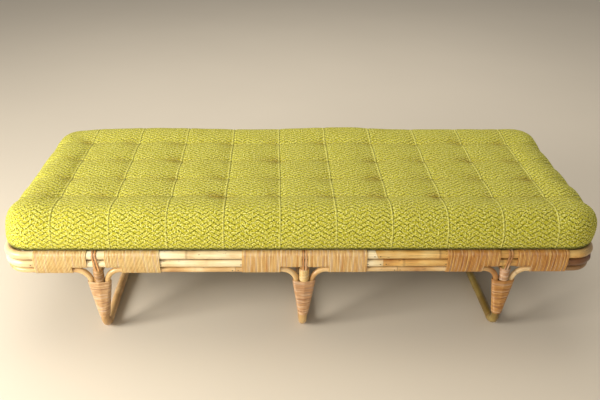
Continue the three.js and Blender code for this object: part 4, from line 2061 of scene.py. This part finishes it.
    def _seam_wander(self, places: np.ndarray, seams: np.ndarray) -> np.ndarray:
        """Give how far each seam strays from a straight line beside each place.

        Args:
            places: The cover's vertices.
            seams: The X of the seam that is nearest to each.

        Returns:
            How far the seam strays there.
        """
        size = self.stray_size
        spots = np.column_stack([seams * 9.1, places[:, 1] / size, places[:, 2] / size])
        return self.seam_stray * np.array([noise.noise(p) for p in spots.tolist()])

    def _rumples(self, places: np.ndarray) -> np.ndarray:
        """Give the small unevenness of stuffed cloth, from about -1 to 1."""
        scaled = places / self.rumple_size
        return np.array([noise.noise(p) for p in scaled.tolist()])

    def _sag(self, places: np.ndarray, height: np.ndarray) -> None:
        """Let the sides belly out low down, where the mattress leans over the rail.

        Args:
            places: The cover's vertices, which are moved.
            height: Their height in the mattress, from -1 to 1.
        """
        belly = np.clip(1 - ((height + 0.45) / 0.95) ** 2, 0, 1)
        x, y = places[:, 0], places[:, 1]
        near_end = climb(np.abs(x), *self.end_zone)
        near_side = climb(np.abs(y), *self.side_zone)
        end = np.where(x > 0, self.sag_right, self.sag_left)
        lean = np.where(x > 0, self.lean_right, self.lean_left) * np.clip(height + 0.5, 0, 1)
        places[:, 0] += np.sign(x) * (end * belly + lean) * near_end**2
        places[:, 1] += np.sign(y) * self.sag_sides * belly * near_side**2

    def _clear_rail(self, places: np.ndarray) -> None:
        """Hug the top rail where the mattress lies over it.

        Args:
            places: The cover's vertices, which are moved.
        """
        layout = self.layout
        bend = layout.corner_bend
        over_x = np.abs(places[:, 0]) - (layout.rail_x - bend)
        over_y = np.abs(places[:, 1]) - (layout.rail_y - bend)
        in_corner = (over_x > 0) & (over_y > 0)
        around = np.where(in_corner, np.hypot(over_x, over_y), np.maximum(over_x, over_y))
        out = around - bend
        up = places[:, 2] - layout.top_z
        reach = layout.pole + self.rail_clearance
        distance = np.maximum(np.hypot(out, up), 1e-6)
        near = distance < reach
        slide = np.where(near, out / distance * reach - out, 0.0)
        shares = (over_x / around, over_x > over_y), (over_y / around, over_x <= over_y)
        for axis, (in_bend, straight) in enumerate(shares):
            share = np.where(in_corner, in_bend, straight)
            places[:, axis] += np.sign(places[:, axis]) * slide * share
        places[:, 2] = np.where(near, layout.top_z + up / distance * reach, places[:, 2])

    def _tie_tufts(self, piece: Piece) -> None:
        """Put a short tie of thread in each dimple.

        Args:
            piece: The finished cover.
        """
        places = read_places(piece.data)
        lower = np.where(places[:, 2] > self.middle.z, 0.0, 1.0)
        points, facings = [], []
        for x, y, _ in self._tufts():
            gap = np.hypot(places[:, 0] - x, places[:, 1] - y) + lower
            nearest = int(gap.argmin())
            points.append(Vector(places[nearest]))
            facings.append(piece.data.vertices[nearest].normal.copy())
        sizes = zip(("Head Length", "Head Width", "Head Height"), self.tuft_stitch)
        values = {**dict(sizes), "Material": self.palette.thread}
        tool = StudTool("tuft_stitches", 10, 6)
        settle(tool.run("tuft_stitches", point_carrier(points, facings), values), "mattress", "fabric")


# ---------------------------------------------------------------------------------------
# Studio
# ---------------------------------------------------------------------------------------


@dataclass(frozen=True)
class SoftLight:
    """One soft area light that faces a target."""

    name: str
    place: Point
    target: Point
    size: tuple[float, float]
    power: float
    colour: str = "#fffaf0"

    def hang(self) -> None:
        """Hang the light."""
        data = bpy.data.lights.new(self.name, "AREA")
        data.shape = "RECTANGLE"
        data.size, data.size_y = self.size
        data.energy = self.power
        data.color = linear(self.colour)[:3]
        light = in_scene(self.name, data)
        light.location = self.place
        ahead = Vector(self.target) - Vector(self.place)
        light.rotation_euler = ahead.to_track_quat("-Z", "Y").to_euler()


@dataclass
class Studio:
    """Floor, lights, world and camera."""

    palette: Palette
    lens: float = 38.68
    place: Point = (-0.101, -2.056, 1.440)
    yaw: float = math.radians(2.76)
    pitch: float = math.radians(29.09)
    roll: float = math.radians(1.41)
    floor_size: float = 14.0
    air: str = "#efeae2"
    air_strength: float = 0.38
    lights: tuple[SoftLight, ...] = (
        SoftLight("key_window", (-2.5, -1.5, 1.25), (0.2, 0.0, 0.2), (1.2, 1.0), 98.0),
        SoftLight("front_fill", (-0.6, -4.0, 2.6), (0.0, 0.0, 0.2), (3.0, 2.0), 46.0, "#fff4e4"),
        SoftLight("top_soft", (-0.3, 1.6, 3.2), (0.0, 0.9, 0.0), (4.6, 2.8), 75.0)
    )

    def build(self) -> None:
        """Set up everything that isn't the bed."""
        self._camera()
        self._floor()
        for light in self.lights:
            light.hang()
        world = bpy.data.worlds.new("studio_air")
        world.use_nodes = True
        background = world.node_tree.nodes["Background"]
        fill(background, {"Color": linear(self.air), "Strength": self.air_strength})
        bpy.context.scene.world = world
        bpy.context.scene.view_settings.view_transform = "Standard"

    def _camera(self) -> None:
        """Stand the camera where the bed is seen a little from above."""
        data = bpy.data.cameras.new("camera")
        data.sensor_width = 36.0
        data.lens = self.lens
        camera = in_scene("camera", data)
        level, down = math.cos(self.pitch), math.sin(self.pitch)
        ahead = Vector((math.sin(self.yaw) * level, math.cos(self.yaw) * level, -down))
        right = Vector((math.cos(self.yaw), -math.sin(self.yaw), 0.0))
        up = right.cross(ahead)
        leaned_right = right * math.cos(self.roll) + up * math.sin(self.roll)
        leaned_up = up * math.cos(self.roll) - right * math.sin(self.roll)
        turn = Matrix((leaned_right, leaned_up, -ahead)).transposed()
        camera.matrix_world = Matrix.Translation(self.place) @ turn.to_4x4()
        bpy.context.scene.camera = camera

    def _floor(self) -> None:
        """Lay the pale floor."""
        half = self.floor_size / 2
        mesh = bpy.data.meshes.new("floor")
        square = [(-half, -half, 0.0), (half, -half, 0.0), (half, half, 0.0), (-half, half, 0.0)]
        mesh.from_pydata(square, [], [(0, 1, 2, 3)])
        mesh.materials.append(self.palette.floor)
        new_mesh_object("floor", mesh)


# ---------------------------------------------------------------------------------------
# The whole daybed
# ---------------------------------------------------------------------------------------


def main() -> None:
    """Build the studio and every piece of the daybed, in order."""
    palette = Palette()
    layout = Layout.from_frame()
    Studio(palette).build()
    work = PoleWork(layout, palette)
    for group in (Rails(work), Braces(work), Sleds(work), Deck(work)):
        log.info("building %s", type(group).__name__)
        group.build()
    tool = WindingTool()
    legs = [(side, leg) for side in Side for leg in LEGS]
    for number, (side, leg) in enumerate(legs, start=1):
        LegUnit(layout, palette, tool, side, leg, number).build()
    Brads(layout, palette).build()
    log.info("building Mattress")
    Mattress(layout, palette).build()


if __name__ == "__main__":
    main()
